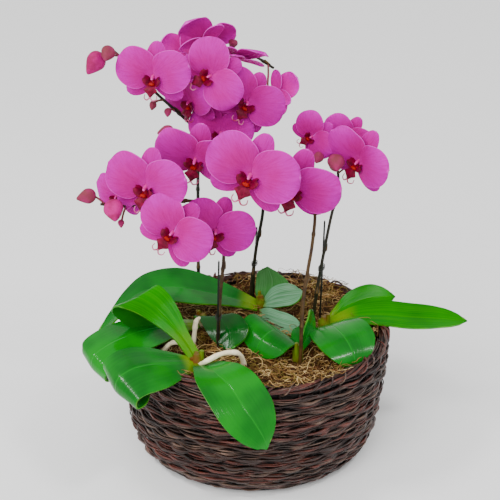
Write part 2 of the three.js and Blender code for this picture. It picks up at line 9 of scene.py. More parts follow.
import logging
import math
from dataclasses import dataclass, field
from enum import Enum
from typing import Callable, Sequence

import bpy
import numpy as np
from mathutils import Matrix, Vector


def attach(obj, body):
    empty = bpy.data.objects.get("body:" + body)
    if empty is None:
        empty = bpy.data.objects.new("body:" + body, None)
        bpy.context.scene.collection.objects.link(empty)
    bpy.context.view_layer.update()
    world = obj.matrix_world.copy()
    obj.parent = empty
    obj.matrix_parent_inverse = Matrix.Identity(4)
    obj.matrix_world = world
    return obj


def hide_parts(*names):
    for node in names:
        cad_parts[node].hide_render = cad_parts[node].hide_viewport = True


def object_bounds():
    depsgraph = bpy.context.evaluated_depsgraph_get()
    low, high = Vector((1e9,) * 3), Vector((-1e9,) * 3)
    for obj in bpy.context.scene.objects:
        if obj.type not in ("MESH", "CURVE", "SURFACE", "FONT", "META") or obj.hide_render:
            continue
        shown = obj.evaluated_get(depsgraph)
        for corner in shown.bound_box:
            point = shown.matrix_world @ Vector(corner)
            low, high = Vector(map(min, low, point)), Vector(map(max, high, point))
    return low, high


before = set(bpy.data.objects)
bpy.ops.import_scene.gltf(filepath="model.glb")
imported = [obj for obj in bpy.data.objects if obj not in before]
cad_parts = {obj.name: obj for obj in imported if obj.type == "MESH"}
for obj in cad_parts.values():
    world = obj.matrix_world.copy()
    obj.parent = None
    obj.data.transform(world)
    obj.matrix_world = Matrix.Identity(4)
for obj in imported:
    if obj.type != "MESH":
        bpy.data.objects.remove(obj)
CAD_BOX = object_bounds()

LOG = logging.getLogger("orchid_basket")
MM = 0.001
BOX_MARGIN = 0.1
SEAM_GAP = 0.00005
SHARP_EDGE = 55
Array = np.ndarray
Triple = tuple[float, float, float]
Colour = tuple[float, float, float, float]
Surface = Callable[[Array, Array], Array]
Piece = bpy.types.Object
Socket = bpy.types.NodeSocket
Draws = np.random.Generator


# Curves and surfaces


def unit(vectors: Array) -> Array:
    """Vectors scaled to length one along their last axis."""
    return vectors / np.maximum(np.linalg.norm(vectors, axis=-1, keepdims=True), 1e-9)


def rows_of(x: Array, y: Array, z: Array) -> Array:
    """Points as rows from their coordinates, any of which may be one number for all."""
    return np.stack(np.broadcast_arrays(x, y, z), -1)


def ease(values: Array, low: float, high: float) -> Array:
    """A smooth rise from 0 at low to 1 at high."""
    share = np.clip((values - low) / (high - low), 0, 1)
    return share * share * (3 - 2 * share)


def cubic(s: Array, start: Array, end: Array, leaving: Array, arriving: Array) -> Array:
    """A cubic curve's points at shares s, from its two ends and its slopes there."""
    return (
        (2 * s**3 - 3 * s**2 + 1) * start
        + (s**3 - 2 * s**2 + s) * leaving
        + (3 * s**2 - 2 * s**3) * end
        + (s**3 - s**2) * arriving
    )


def smooth_profile(places: Array, knots: Sequence[tuple[float, float]]) -> Array:
    """Reads a smooth curve through knots of (place, value).

    Args:
        places: where to read the curve.
        knots: its knots, in rising order of place.

    Returns:
        The value at each place.
    """
    at, value = np.array(knots).T
    slope = np.gradient(value, at)
    i = np.clip(np.searchsorted(at, places) - 1, 0, len(at) - 2)
    width = at[i + 1] - at[i]
    s = np.clip((places - at[i]) / width, 0, 1)
    return cubic(s, value[i], value[i + 1], width * slope[i], width * slope[i + 1])


@dataclass
class SmoothPath:
    """A centripetal curve through points, read at equal steps of its length."""

    points: Sequence[Triple]
    dense: Array = field(init=False)
    travelled: Array = field(init=False)

    STEPS = 40
    NEAR = 0.01

    def __post_init__(self) -> None:
        """Samples the curve finely once."""
        given = np.array(self.points, float)
        ends = (2 * given[0] - given[1], 2 * given[-1] - given[-2])
        knots = np.vstack([ends[0], given, ends[1]])
        s = np.linspace(0, 1, self.STEPS, endpoint=False)[:, None]
        pieces = []
        for i in range(1, len(knots) - 2):
            p0, p1, p2, p3 = knots[i - 1 : i + 3]
            d0, d1, d2 = (math.dist(a, b) ** 0.5 for a, b in ((p0, p1), (p1, p2), (p2, p3)))
            m1 = ((p1 - p0) / d0 - (p2 - p0) / (d0 + d1) + (p2 - p1) / d1) * d1
            m2 = ((p2 - p1) / d1 - (p3 - p1) / (d1 + d2) + (p3 - p2) / d2) * d1
            pieces.append(cubic(s, p1, p2, m1, m2))
        self.dense = np.vstack([*pieces, given[-1:]])
        steps = np.linalg.norm(np.diff(self.dense, axis=0), axis=1)
        self.travelled = np.concatenate([[0], np.cumsum(steps)])

    @property
    def length(self) -> float:
        """The curve's length."""
        return float(self.travelled[-1])

    def at(self, share: Array) -> Array:
        """Points at shares of the length from 0 to 1."""
        along = np.clip(share, 0, 1) * self.length
        return np.stack([np.interp(along, self.travelled, axis) for axis in self.dense.T], -1)

    def tangent(self, share: Array) -> Array:
        """Directions at shares of the length."""
        return unit(self.at(share + self.NEAR) - self.at(share - self.NEAR))

    def nearest(self, place: Array) -> float:
        """The share of the length, in steps of a hundredth, that comes closest to a place."""
        share = np.linspace(0, 1, 101)
        return float(share[np.argmin(np.linalg.norm(self.at(share) - place, axis=1))])


# Modelling steps


def select_only(*objects: Piece) -> None:
    """Selects these objects alone and makes the first one active."""
    bpy.ops.object.select_all(action="DESELECT")
    for one in objects:
        one.select_set(True)
    bpy.context.view_layer.objects.active = objects[0]


def points_of(piece: Piece) -> Array:
    """A piece's points as rows, in its own units."""
    flat = np.empty(len(piece.data.vertices) * 3, np.float32)
    piece.data.vertices.foreach_get("co", flat)
    return flat.reshape(-1, 3).astype(float)


def reshape(piece: Piece, shape: Callable[[Array], Array]) -> None:
    """Moves a piece's points: shape takes them as rows in its own units and returns millimetres."""
    moved = shape(points_of(piece)) * MM
    piece.data.vertices.foreach_set("co", moved.astype(np.float32).ravel())
    piece.data.update()


def sheet(name: str, columns: int, rows: int, surface: Surface) -> Piece:
    """A grid laid onto a surface.

    Args:
        name: the piece's name.
        columns: faces across.
        rows: faces along.
        surface: takes across from -1 to 1 and along from 0 to 1, and returns millimetres.

    Returns:
        The sheet, with its UV map running 0 to 1 both ways.
    """
    bpy.ops.object.select_all(action="DESELECT")
    bpy.ops.mesh.primitive_grid_add(x_subdivisions=columns, y_subdivisions=rows, size=2)
    piece = bpy.context.active_object
    piece.name = name
    reshape(piece, lambda flat: surface(flat[:, 0], (flat[:, 1] + 1) / 2))
    return piece


def mark(piece: Piece, name: str, values: Array) -> None:
    """Stores three numbers at each point of a piece, under a name that a finish reads.

    Args:
        piece: the piece.
        name: the attribute's name.
        values: a row of numbers for each point, or one number or row that serves for all.
    """
    stored = piece.data.attributes.new(name, "FLOAT_VECTOR", "POINT")
    rows = np.broadcast_to(values, (len(piece.data.vertices), 3))
    stored.data.foreach_set("vector", rows.astype(np.float32).ravel())


def thicken(piece: Piece, thickness: float, back: int = 0, edge: int = 0) -> None:
    """Gives a sheet its thickness, with material offsets for its back and its edge."""
    select_only(piece)
    wall = piece.modifiers.new("wall", "SOLIDIFY")
    wall.thickness = thickness * MM
    wall.offset = 0
    wall.material_offset = back
    wall.material_offset_rim = edge
    bpy.ops.object.modifier_apply(modifier=wall.name)
    bpy.ops.object.shade_smooth_by_angle(angle=math.radians(SHARP_EDGE))


def close_seams(piece: Piece) -> None:
    """Merges the points that meet along a sheet's seam and at its pole, with faces outwards."""
    select_only(piece)
    bpy.ops.object.mode_set(mode="EDIT")
    bpy.ops.mesh.select_all(action="SELECT")
    bpy.ops.mesh.remove_doubles(threshold=SEAM_GAP)
    bpy.ops.mesh.normals_make_consistent(inside=False)
    bpy.ops.object.mode_set(mode="OBJECT")


def ball(name: str, segments: int, rings: int, shape: Callable[[Array], Array]) -> Piece:
    """A sphere of radius one whose points are moved by shape."""
    bpy.ops.object.select_all(action="DESELECT")
    bpy.ops.mesh.primitive_uv_sphere_add(segments=segments, ring_count=rings, radius=1)
    piece = bpy.context.active_object
    piece.name = name
    reshape(piece, shape)
    bpy.ops.object.shade_smooth()
    return piece


@dataclass
class Strand:
    """A round strand: its points, its radius at each point and the finish it takes."""

    points: Array
    radii: Array
    finish: int = 0


def swept(name: str, strands: Sequence[Strand], roundness: int) -> Piece:
    """Strands drawn as curves with a round bevel and made into one mesh.

    Args:
        name: the piece's name.
        strands: the strands, in millimetres.
        roundness: the bevel's resolution; a strand has four sides and two more for each step.

    Returns:
        The meshed strands.
    """
    bpy.ops.object.select_all(action="DESELECT")
    bpy.ops.curve.primitive_bezier_curve_add()
    piece = bpy.context.active_object
    piece.name = name
    curve = piece.data
    curve.splines.clear()
    curve.dimensions = "3D"
    curve.fill_mode = "FULL"
    curve.bevel_depth = MM
    curve.bevel_resolution = roundness
    curve.use_fill_caps = True
    for _ in range(max(strand.finish for strand in strands) + 1):
        curve.materials.append(None)
    for strand in strands:
        spline = curve.splines.new("POLY")
        count = len(strand.points)
        spline.points.add(count - 1)
        placed = np.ones((count, 4))
        placed[:, :3] = strand.points * MM
        spline.points.foreach_set("co", placed.ravel())
        spline.points.foreach_set("radius", np.broadcast_to(strand.radii, count).astype(np.float32))
        spline.material_index = strand.finish
        spline.use_smooth = True
    bpy.ops.object.convert(target="MESH")
    return bpy.context.active_object


def dress(piece: Piece, *finishes: Finish) -> None:
    """Fills a piece's material slots in order."""
    slots = piece.data.materials
    for i, finish in enumerate(finishes):
        if i < len(slots):
            slots[i] = material(finish)
        else:
            slots.append(material(finish))


def settle(name: str, pieces: Sequence[Piece], nodes: Sequence[str] = ()) -> None:
    """Joins pieces and ties them to the part, their last ripples kept inside the solids' box.

    Args:
        name: the finished piece's name.
        pieces: what it is made of; the others are joined into the first.
        nodes: the plain solids that it stands for.
    """
    select_only(*pieces)
    if len(pieces) > 1:
        bpy.ops.object.join()
    piece = pieces[0]
    piece.name = name
    piece.data.name = name
    corners = np.array(CAD_BOX) / MM
    low, high = corners[0] + BOX_MARGIN, corners[1] - BOX_MARGIN
    reshape(piece, lambda points: np.clip(points / MM, low, high))
    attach(piece, "root")
    if nodes:
        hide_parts(*nodes)
    count = sum(len(face.vertices) - 2 for face in piece.data.polygons)
    LOG.info("%s: %d triangles", piece.name, count)


# Finishes


def tint(red: int, green: int, blue: int) -> Colour:
    """A colour given as it looks on a screen, 0 to 255, for a shader."""
    levels = (c / 255 for c in (red, green, blue))
    return (*(c / 12.92 if c < 0.04 else ((c + 0.055) / 1.055) ** 2.4 for c in levels), 1.0)


@dataclass
class NodeBoard:
    """Places and links the nodes of one material or node group."""

    tree: bpy.types.NodeTree

    def add(self, kind: str, inputs: dict | None = None, **settings: object) -> bpy.types.Node:
        """Adds a node.

        Args:
            kind: its type.
            inputs: values or sockets for its inputs, by name or number.
            **settings: its properties.

        Returns:
            The node.
        """
        node = self.tree.nodes.new(kind)
        for key, value in settings.items():
            setattr(node, key, value)
        for key, value in (inputs or {}).items():
            if isinstance(value, Socket):
                self.tree.links.new(value, node.inputs[key])
            else:
                node.inputs[key].default_value = value
        return node

    def maths(self, operation: str, *values: object) -> Socket:
        """A Math node's result, held between 0 and 1."""
        inputs = dict(enumerate(values))
        return self.add("ShaderNodeMath", inputs, operation=operation, use_clamp=True).outputs[0]

    def free_maths(self, operation: str, *values: object) -> Socket:
        """A Math node's result, not held."""
        return self.add("ShaderNodeMath", dict(enumerate(values)), operation=operation).outputs[0]

    def mix(self, factor: object, first: object, second: object) -> Socket:
        """A colour between two others."""
        inputs = {0: factor, 6: first, 7: second}
        return self.add("ShaderNodeMix", inputs, data_type="RGBA").outputs[2]

    def ramp(self, value: object, low: float, high: float) -> Socket:
        """A smooth mask that rises from 0 at low to 1 at high."""
        inputs = {"Value": value, "From Min": low, "From Max": high}
        kind = "ShaderNodeMapRange"
        return self.add(kind, inputs, interpolation_type="SMOOTHSTEP").outputs[0]

    def fall(self, value: object, low: float, high: float) -> Socket:
        """A smooth mask that falls from 1 at low to 0 at high."""
        return self.maths("SUBTRACT", 1.0, self.ramp(value, low, high))

    def coordinate(self, kind: str) -> Socket:
        """The piece's coordinates of a kind, such as UV or Object."""
        return self.add("ShaderNodeTexCoord").outputs[kind]

    def streaks(self, vector: object, across: float, along: float, detail: float) -> Socket:
        """The shared streaks, with their scale across and along."""
        inputs = {"Vector": vector, "Across": across, "Along": along, "Detail": detail}
        return self.add("ShaderNodeGroup", inputs, node_tree=STREAKS).outputs[0]

    def patches(self, vector: object, scale: float, detail: float) -> Socket:
        """The shared patches, at a scale."""
        inputs = {"Vector": vector, "Scale": scale, "Detail": detail}
        return self.add("ShaderNodeGroup", inputs, node_tree=PATCHES).outputs[0]

    def across_and_along(self) -> tuple[Socket, Socket]:
        """The UV map as a distance from the midrib, 0 to 1, and a place along, 0 to 1."""
        uv = self.coordinate("UV")
        split = self.add("ShaderNodeSeparateXYZ", {0: uv})
        signed = self.free_maths("MULTIPLY_ADD", split.outputs[0], 2.0, -1.0)
        return self.free_maths("ABSOLUTE", signed), split.outputs[1]

    def shade(
        self, colour: object, roughness: object, height: object, depth: float, gloss: float
    ) -> bpy.types.Node:
        """The surface shader and output.

        Args:
            colour: base colour.
            roughness: roughness.
            height: a height from 0 to 1 for the bump.
            depth: the bump's height in millimetres.
            gloss: the specular level.

        Returns:
            The shader node.
        """
        bump = self.add("ShaderNodeBump", {"Distance": depth * MM, "Height": height})
        inputs = {"Base Color": colour, "Roughness": roughness, "Normal": bump.outputs[0]}
        inputs["Specular IOR Level"] = gloss
        shader = self.add("ShaderNodeBsdfPrincipled", inputs)
        self.add("ShaderNodeOutputMaterial", {0: shader.outputs[0]})
        return shader


def new_board(name: str) -> tuple[bpy.types.Material, NodeBoard]:
    """An empty material and the board of its nodes."""
    material = bpy.data.materials.new(name)
    material.use_nodes = True
    material.node_tree.nodes.clear()
    return material, NodeBoard(material.node_tree)


def new_group(name: str, inputs: dict[str, str], outputs: Sequence[str]) -> NodeBoard:
    """An empty shared node group.

    Args:
        name: its name.
        inputs: the kind of each named input.
        outputs: the named outputs, all plain numbers.

    Returns:
        The board of its nodes.
    """
    tree = bpy.data.node_groups.new(name, "ShaderNodeTree")
    for key, kind in inputs.items():
        tree.interface.new_socket(name=key, in_out="INPUT", socket_type=f"NodeSocket{kind}")
    for key in outputs:
        tree.interface.new_socket(name=key, in_out="OUTPUT", socket_type="NodeSocketFloat")
    return NodeBoard(tree)


def streak_group() -> bpy.types.NodeTree:
    """Streaks that run along V and vary across U, as the veins of a petal, leaf or twig do."""
    kinds = {"Vector": "Vector", "Across": "Float", "Along": "Float", "Detail": "Float"}
    board = new_group("streaks", kinds, ["Streaks"])
    given = board.add("NodeGroupInput")
    scale = board.add(
        "ShaderNodeCombineXYZ", {0: given.outputs["Across"], 1: given.outputs["Along"], 2: 1.0}
    )
    stretched = board.add(
        "ShaderNodeVectorMath", {0: given.outputs["Vector"], 1: scale.outputs[0]}, operation="MULTIPLY"
    )
    noise = board.add(
        "ShaderNodeTexNoise",
        {"Vector": stretched.outputs[0], "Scale": 1.0, "Detail": given.outputs["Detail"]},
    )
    mask = board.ramp(noise.outputs[0], 0.36, 0.64)
    board.add("NodeGroupOutput", {0: mask})
    return board.tree


def patch_group() -> bpy.types.NodeTree:
    """Soft patches of lighter and darker tone."""
    board = new_group("patches", {"Vector": "Vector", "Scale": "Float", "Detail": "Float"}, ["Patches"])
    given = board.add("NodeGroupInput")
    noise = board.add(
        "ShaderNodeTexNoise",
        {
            "Vector": given.outputs["Vector"],
            "Scale": given.outputs["Scale"],
            "Detail": given.outputs["Detail"],
        },
    )
    board.add("NodeGroupOutput", {0: board.ramp(noise.outputs[0], 0.3, 0.7)})
    return board.tree


STREAKS = streak_group()
PATCHES = patch_group()

# Attributes that finishes read from a piece
FAN = "fan"
# LIFT drives the twig finish's painted shade in the weave's hollows
LIFT = "lift"


@dataclass(frozen=True)
class PetalFinish:
    """A petal's face: a deep centre, a lilac outer part and veins that fan out from its foot.

    Its piece carries the attribute FAN: the angle about the foot, the distance from it as a
    share of the bloom, and the nearness to the margin from 0 to 1.
    """

    name: str
    centre: Colour
    outer: Colour
    vein: Colour
    throat: Colour
    margin: Colour
    roughness: float = 0.55

    def make(self) -> bpy.types.Material:
        """Builds the material."""
        material, board = new_board(self.name)
        fan = board.add("ShaderNodeAttribute", attribute_name=FAN).outputs["Vector"]
        place = board.coordinate("Object")
        split = board.add("ShaderNodeSeparateXYZ", {0: fan})
        distance, edge = split.outputs[1], split.outputs[2]
        veins = board.streaks(fan, 30.0, 5.0, 3.0)
        fine = board.streaks(fan, 105.0, 12.0, 2.0)
        patches = board.patches(place, 34.0, 2.0)
        spread = board.maths("MULTIPLY", board.ramp(distance, 0.2, 0.62), 0.8)
        blend = board.maths("MULTIPLY_ADD", patches, 0.4, spread)
        base = board.mix(blend, self.centre, self.outer)
        threads = board.maths("MULTIPLY", board.ramp(veins, 0.5, 0.95), 0.16)
        veined = board.mix(threads, base, self.vein)
        veined = board.mix(board.maths("MULTIPLY", fine, 0.14), veined, self.vein)
        throat = board.fall(distance, 0.03, 0.14)
        lit = board.mix(board.maths("MULTIPLY", throat, 0.5), veined, self.throat)
        colour = board.mix(board.maths("MULTIPLY", board.ramp(edge, 0.955, 1.0), 0.7), lit, self.margin)
        shallow = board.free_maths("MULTIPLY", fine, 0.3)
        relief = board.maths("MULTIPLY_ADD", veins, 0.7, shallow)
        shader = board.shade(colour, self.roughness, relief, 0.16, 0.06)
        shader.inputs["Subsurface Weight"].default_value = 0.1
        shader.inputs["Subsurface Radius"].default_value = (0.004, 0.0005, 0.002)
        return material


@dataclass(frozen=True)
class LipFinish:
    """A lip lobe: crimson, with a yellow to orange foot streaked with red."""

    name: str
    lobe: Colour
    shade: Colour
    foot: Colour
    streak: Colour
    foot_reach: float = 0.45

    def make(self) -> bpy.types.Material:
        """Builds the material."""
        material, board = new_board(self.name)
        uv = board.coordinate("UV")
        place = board.coordinate("Object")
        along = board.add("ShaderNodeSeparateXYZ", {0: uv}).outputs[1]
        streaks = board.streaks(uv, 16.0, 1.6, 2.0)
        patches = board.patches(place, 240.0, 2.0)
        body = board.mix(patches, self.lobe, self.shade)
        foot = board.fall(along, self.foot_reach * 0.2, self.foot_reach)
        striped = board.mix(board.maths("MULTIPLY", streaks, 0.9), self.foot, self.streak)
        colour = board.mix(foot, body, striped)
        board.shade(colour, 0.45, streaks, 0.12, 0.16)
        return material


@dataclass(frozen=True)
class LeafFinish:
    """A leaf's face: glossy, with a midrib, fine parallel veins and a tinted foot."""

    name: str
    face: Colour
    shade: Colour
    vein: Colour
    foot: Colour
    foot_reach: float = 0.16
    vein_strength: float = 0.08
    roughness: float = 0.13
    gloss: float = 0.24

    def make(self) -> bpy.types.Material:
        """Builds the material."""
        material, board = new_board(self.name)
        across, along = board.across_and_along()
        uv, place = board.coordinate("UV"), board.coordinate("Object")
        veins = board.streaks(uv, 26.0, 1.2, 3.0)
        patches = board.patches(place, 20.0, 2.0)
        specks = board.patches(place, 420.0, 2.0)
        base = board.mix(board.maths("MULTIPLY", patches, 0.85), self.face, self.shade)
        strength = board.maths("MULTIPLY", veins, self.vein_strength)
        base = board.mix(strength, base, self.vein)
        midrib = board.fall(across, 0.0, 0.045)
        base = board.mix(board.maths("MULTIPLY", midrib, 0.4), base, self.vein)
        foot = board.fall(along, self.foot_reach * 0.3, self.foot_reach)
        mottled = board.maths("MULTIPLY", foot, board.maths("ADD", 0.5, patches))
        colour = board.mix(mottled, base, self.foot)
        pores = board.free_maths("MULTIPLY", specks, 0.06)
        grooves = board.free_maths("MULTIPLY_ADD", veins, 0.22, pores)
        relief = board.free_maths("SUBTRACT", grooves, board.free_maths("MULTIPLY", midrib, 0.8))
        rough = board.maths("MULTIPLY_ADD", patches, 0.1, self.roughness)
        board.shade(colour, rough, relief, 0.26, self.gloss)
        return material


@dataclass(frozen=True)
class TwigFinish:
    """Twigs with their bark: two tones in streaks along the course, a rough skin and painted shade in the
    weave's hollows.

    Its piece carries the attribute LIFT: how far a point stands out of the weave, from 0 to 1. Low points are
    painted towards near black, as painted shade.
    """

    name: str
    dark: Colour
    light: Colour
    roughness: float = 0.6
    # Painted shade: the near-black colour laid on the low points of the weave
    hollow_shade: Colour = tint(10, 5, 4)

    def make(self) -> bpy.types.Material:
        """Builds the material."""
        material, board = new_board(self.name)
        place = board.coordinate("Object")
        flat = board.add("ShaderNodeMapping", {"Vector": place, "Scale": (60.0, 60.0, 420.0)})
        grain = board.add("ShaderNodeTexNoise", {"Vector": flat.outputs[0], "Scale": 1.0, "Detail": 4.0})
        patches = board.patches(place, 34.0, 3.0)
        streaks = board.ramp(grain.outputs[0], 0.38, 0.66)
        toned = board.free_maths("MULTIPLY", patches, 0.45)
        blend = board.maths("MULTIPLY_ADD", streaks, 0.55, toned)
        bark = board.mix(blend, self.dark, self.light)
        lift = board.add("ShaderNodeAttribute", attribute_name=LIFT).outputs["Fac"]
        # Painted shade: darker where a point lies low in the weave or under the border's twist
        colour = board.mix(board.ramp(lift, 0.1, 1.0), self.hollow_shade, bark)
        rough = board.maths("MULTIPLY_ADD", streaks, -0.15, self.roughness)
        board.shade(colour, rough, grain.outputs[0], 1.8, 0.5)
        return material


@dataclass(frozen=True)
class FleshFinish:
    """A plain plant part: two tones in patches, with a fine grain and a set gloss."""

    name: str
    main: Colour
    other: Colour
    roughness: float = 0.5
    patch_scale: float = 90.0
    share: float = 1.0
    grain_scale: float = 700.0
    grain_depth: float = 0.15
    gloss: float = 0.3

    def make(self) -> bpy.types.Material:
        """Builds the material."""
        material, board = new_board(self.name)
        place = board.coordinate("Object")
        patches = board.patches(place, self.patch_scale, 3.0)
        grain = board.patches(place, self.grain_scale, 3.0)
        blend = board.maths("MULTIPLY", patches, self.share)
        colour = board.mix(blend, self.main, self.other)
        rough = board.maths("MULTIPLY_ADD", grain, 0.12, self.roughness)
        board.shade(colour, rough, grain, self.grain_depth, self.gloss)
        return material


class Finish(Enum):
    """Every finish of the arrangement."""

    PETAL = PetalFinish(
        "petal_face",
        centre=tint(170, 0, 120),
        outer=tint(184, 0, 162),
        vein=tint(122, 0, 72),
        throat=tint(200, 30, 156),
        margin=tint(222, 70, 196),
    )
    # Painted light: the backs are lighter than the faces to lift the shade they sit in
    PETAL_BACK = PetalFinish(
        "petal_back_painted_light",
        centre=tint(196, 0, 142),
        outer=tint(214, 6, 188),
        vein=tint(146, 0, 94),
        throat=tint(180, 50, 120),
        margin=tint(210, 60, 176),
    )
    PETAL_EDGE = FleshFinish("petal_edge", tint(220, 80, 200), tint(206, 50, 184), 0.5, gloss=0.1)
    COLUMN = FleshFinish("column_flesh", tint(206, 40, 150), tint(176, 0, 100), 0.45, 300.0, 0.7, gloss=0.15)
    COLUMN_CAP = FleshFinish(
        "column_cap", tint(220, 90, 170), tint(206, 50, 140), 0.45, 500.0, 0.4, gloss=0.15
    )
    LIP = LipFinish(
        "lip_crimson", tint(116, 0, 44), tint(82, 0, 28), tint(146, 4, 24), tint(100, 0, 22), 0.2
    )
    LIP_SIDE = LipFinish(
        "lip_side_lobe", tint(122, 0, 46), tint(84, 0, 30), tint(172, 34, 18), tint(108, 0, 20), 0.3
    )
    CALLUS = FleshFinish("lip_callus", tint(156, 26, 6), tint(112, 0, 14), 0.45, 1100.0, 0.95, gloss=0.15)
    TENDRIL = FleshFinish("lip_tendril", tint(150, 20, 70), tint(206, 110, 150), 0.4, 160.0)
    BUD = FleshFinish("bud_rose", tint(146, 34, 88), tint(108, 52, 52), 0.5, 70.0, 0.8, gloss=0.12)
    BUD_OPEN = FleshFinish("bud_open", tint(178, 16, 118), tint(126, 20, 62), 0.5, 90.0, 0.8, gloss=0.15)
    STEM_DARK = FleshFinish("stem_dark", tint(16, 20, 9), tint(38, 30, 14), 0.36, 120.0, 0.8)
    STEM_BROWN = FleshFinish("stem_brown", tint(70, 50, 20), tint(40, 22, 10), 0.42, 120.0, 0.9)
    BRACT = FleshFinish("stem_bract", tint(90, 70, 36), tint(50, 30, 16), 0.5, 200.0, 0.8)
    PEDICEL = FleshFinish("pedicel_flesh", tint(84, 66, 30), tint(150, 30, 84), 0.42, 80.0, 0.9)
    STAKE = FleshFinish("stake_coating", tint(10, 12, 9), tint(24, 26, 20), 0.35)
    CLIP = FleshFinish("clip_wire", tint(16, 18, 16), tint(50, 50, 44), 0.3)
    ROOT = FleshFinish("root_skin", tint(250, 240, 205), tint(206, 186, 134), 0.6, 120.0, 0.5, 500.0, 0.4)
    CROWN = FleshFinish("crown_sheath", tint(86, 116, 8), tint(96, 58, 16), 0.4, 70.0)
    MOSS = FleshFinish("moss_bed", tint(52, 34, 13), tint(100, 74, 36), 0.9, 110.0, 1.0, 260.0, 4.0, 0.1)
    FIBRE_TAN = FleshFinish("moss_fibre_tan", tint(166, 130, 74), tint(108, 76, 36), 0.7, 60.0)
    FIBRE_PALE = FleshFinish("moss_fibre_pale", tint(216, 188, 132), tint(168, 136, 84), 0.65, 60.0)
    FIBRE_DARK = FleshFinish("moss_fibre_dark", tint(86, 42, 14), tint(40, 22, 8), 0.8, 60.0)
    FIBRE_OLIVE = FleshFinish("moss_fibre_olive", tint(136, 120, 50), tint(90, 72, 26), 0.75, 60.0)
    MEDIUM = FleshFinish("bark_chips", tint(60, 40, 26), tint(34, 22, 15), 0.85, 90.0, 1.0, 180.0, 3.0)
    TWIG_DARK = TwigFinish("twig_dark", tint(16, 8, 5), tint(62, 35, 26), 0.48)
    TWIG_RED = TwigFinish("twig_red", tint(33, 12, 8), tint(98, 47, 36), 0.46)
    TWIG_GREY = TwigFinish("twig_grey", tint(32, 21, 16), tint(110, 84, 70), 0.48)
    # Painted shade: near-black twigs for the uprights and the lining, which sit behind the weave
    TWIG_UPRIGHT = TwigFinish("twig_inside_painted_shade", tint(12, 5, 3), tint(36, 18, 12), 0.7)
    LEAF = LeafFinish(
        "leaf_glossy",
        face=tint(0, 120, 18),
        shade=tint(0, 72, 10),
        vein=tint(0, 142, 24),
        foot=tint(96, 130, 0),
        foot_reach=0.1,
    )
    # Painted shade: a darker copy of the glossy leaf, for a leaf that sits in shade
    LEAF_DEEP = LeafFinish(
        "leaf_painted_shade",
        face=tint(0, 78, 8),
        shade=tint(0, 50, 6),
        vein=tint(0, 92, 20),
        foot=tint(60, 90, 0),
        foot_reach=0.1,
    )
    LEAF_BACK = LeafFinish(
        "leaf_back",
        face=tint(6, 110, 8),
        shade=tint(0, 82, 2),
        vein=tint(44, 138, 26),
        foot=tint(84, 120, 4),
        foot_reach=0.12,
        roughness=0.34,
    )
    LEAF_STRIPED = LeafFinish(
        "leaf_striped",
        face=tint(0, 120, 0),
        shade=tint(0, 88, 0),
        vein=tint(44, 144, 0),
        foot=tint(70, 124, 0),
        foot_reach=0.22,
        vein_strength=0.4,
        gloss=0.06,
    )
    LEAF_PALE = LeafFinish(
        "leaf_pale",
        face=tint(80, 136, 94),
        shade=tint(34, 96, 44),
        vein=tint(140, 180, 152),
        foot=tint(96, 136, 56),
        foot_reach=0.1,
        vein_strength=0.4,
        roughness=0.34,
        gloss=0.22,
    )
    LEAF_DUSTY = LeafFinish(
        "leaf_dusty",
        face=tint(26, 110, 24),
        shade=tint(50, 96, 48),
        vein=tint(96, 140, 92),
        foot=tint(40, 110, 20),
        vein_strength=0.2,
        roughness=0.34,
        gloss=0.2,
    )
    LEAF_FRESH = LeafFinish(
        "leaf_fresh",
        face=tint(2, 120, 0),
        shade=tint(0, 94, 0),
        vein=tint(56, 148, 0),
        foot=tint(104, 132, 0),
        foot_reach=0.2,
        vein_strength=0.25,
        gloss=0.06,
    )
    LEAF_EDGE = FleshFinish("leaf_edge", tint(72, 146, 20), tint(30, 112, 8), 0.35, 120.0)


MATERIALS: dict[Finish, bpy.types.Material] = {}


def material(finish: Finish) -> bpy.types.Material:
    """The finish's material, made when it is first used."""
    if finish not in MATERIALS:
        MATERIALS[finish] = finish.value.make()
    return MATERIALS[finish]


# Basket

WALL_TOP = 132
# How far the lower part stands to the left, and how far under the wall's top that starts and ends
LEAN = 6.5
LEAN_START = 8
LEAN_END = 82
# Radius and height of the outer wall
WALL_KNOTS: tuple[tuple[float, float], ...] = (
    (110, 0), (129, 8), (141, 30), (145, 60), (146, 96), (146, 132),
)


def wall_radius(height: Array) -> Array:
    """The basket's outer radius at a height, between its weavers' crests and hollows."""
    given = np.array(WALL_KNOTS, float)
    knots = np.vstack([2 * given[0] - given[1], given, 2 * given[-1] - given[-2]])
    s = np.linspace(0, 1, 30, endpoint=False)[:, None]
    rows = []
    for i in range(1, len(knots) - 2):
        p0, p1, p2, p3 = knots[i - 1 : i + 3]
        rows.append(cubic(s, p1, p2, (p2 - p0) / 2, (p3 - p1) / 2))
    line = np.vstack([*rows, given[-1:]])
    return np.interp(height, line[:, 1], line[:, 0])


def lean_at(height: Array) -> Array:
    """How far the basket stands to the left of its rim at a height."""
    return LEAN * ease(WALL_TOP - height, LEAN_START, LEAN_END)


def ring_points(turn: Array, radius: Array, height: Array) -> Array:
    """Points round the basket, whose lower part stands a little to the left of its rim."""
    flat = np.broadcast_arrays(turn, radius, height)
    x = flat[1] * np.cos(flat[0]) - lean_at(flat[2])
    return rows_of(x, flat[1] * np.sin(flat[0]), flat[2])


def wander(rng: Draws, turn: Array, waves: int, size: float) -> Array:
    """A smooth random drift round the basket."""
    drift = np.zeros_like(turn)
    for wave in range(2, waves):
        drift += rng.normal() * np.sin(wave * turn + rng.uniform(0, 2 * np.pi)) / wave**0.5
    return size * drift / max(waves, 4) ** 0.5


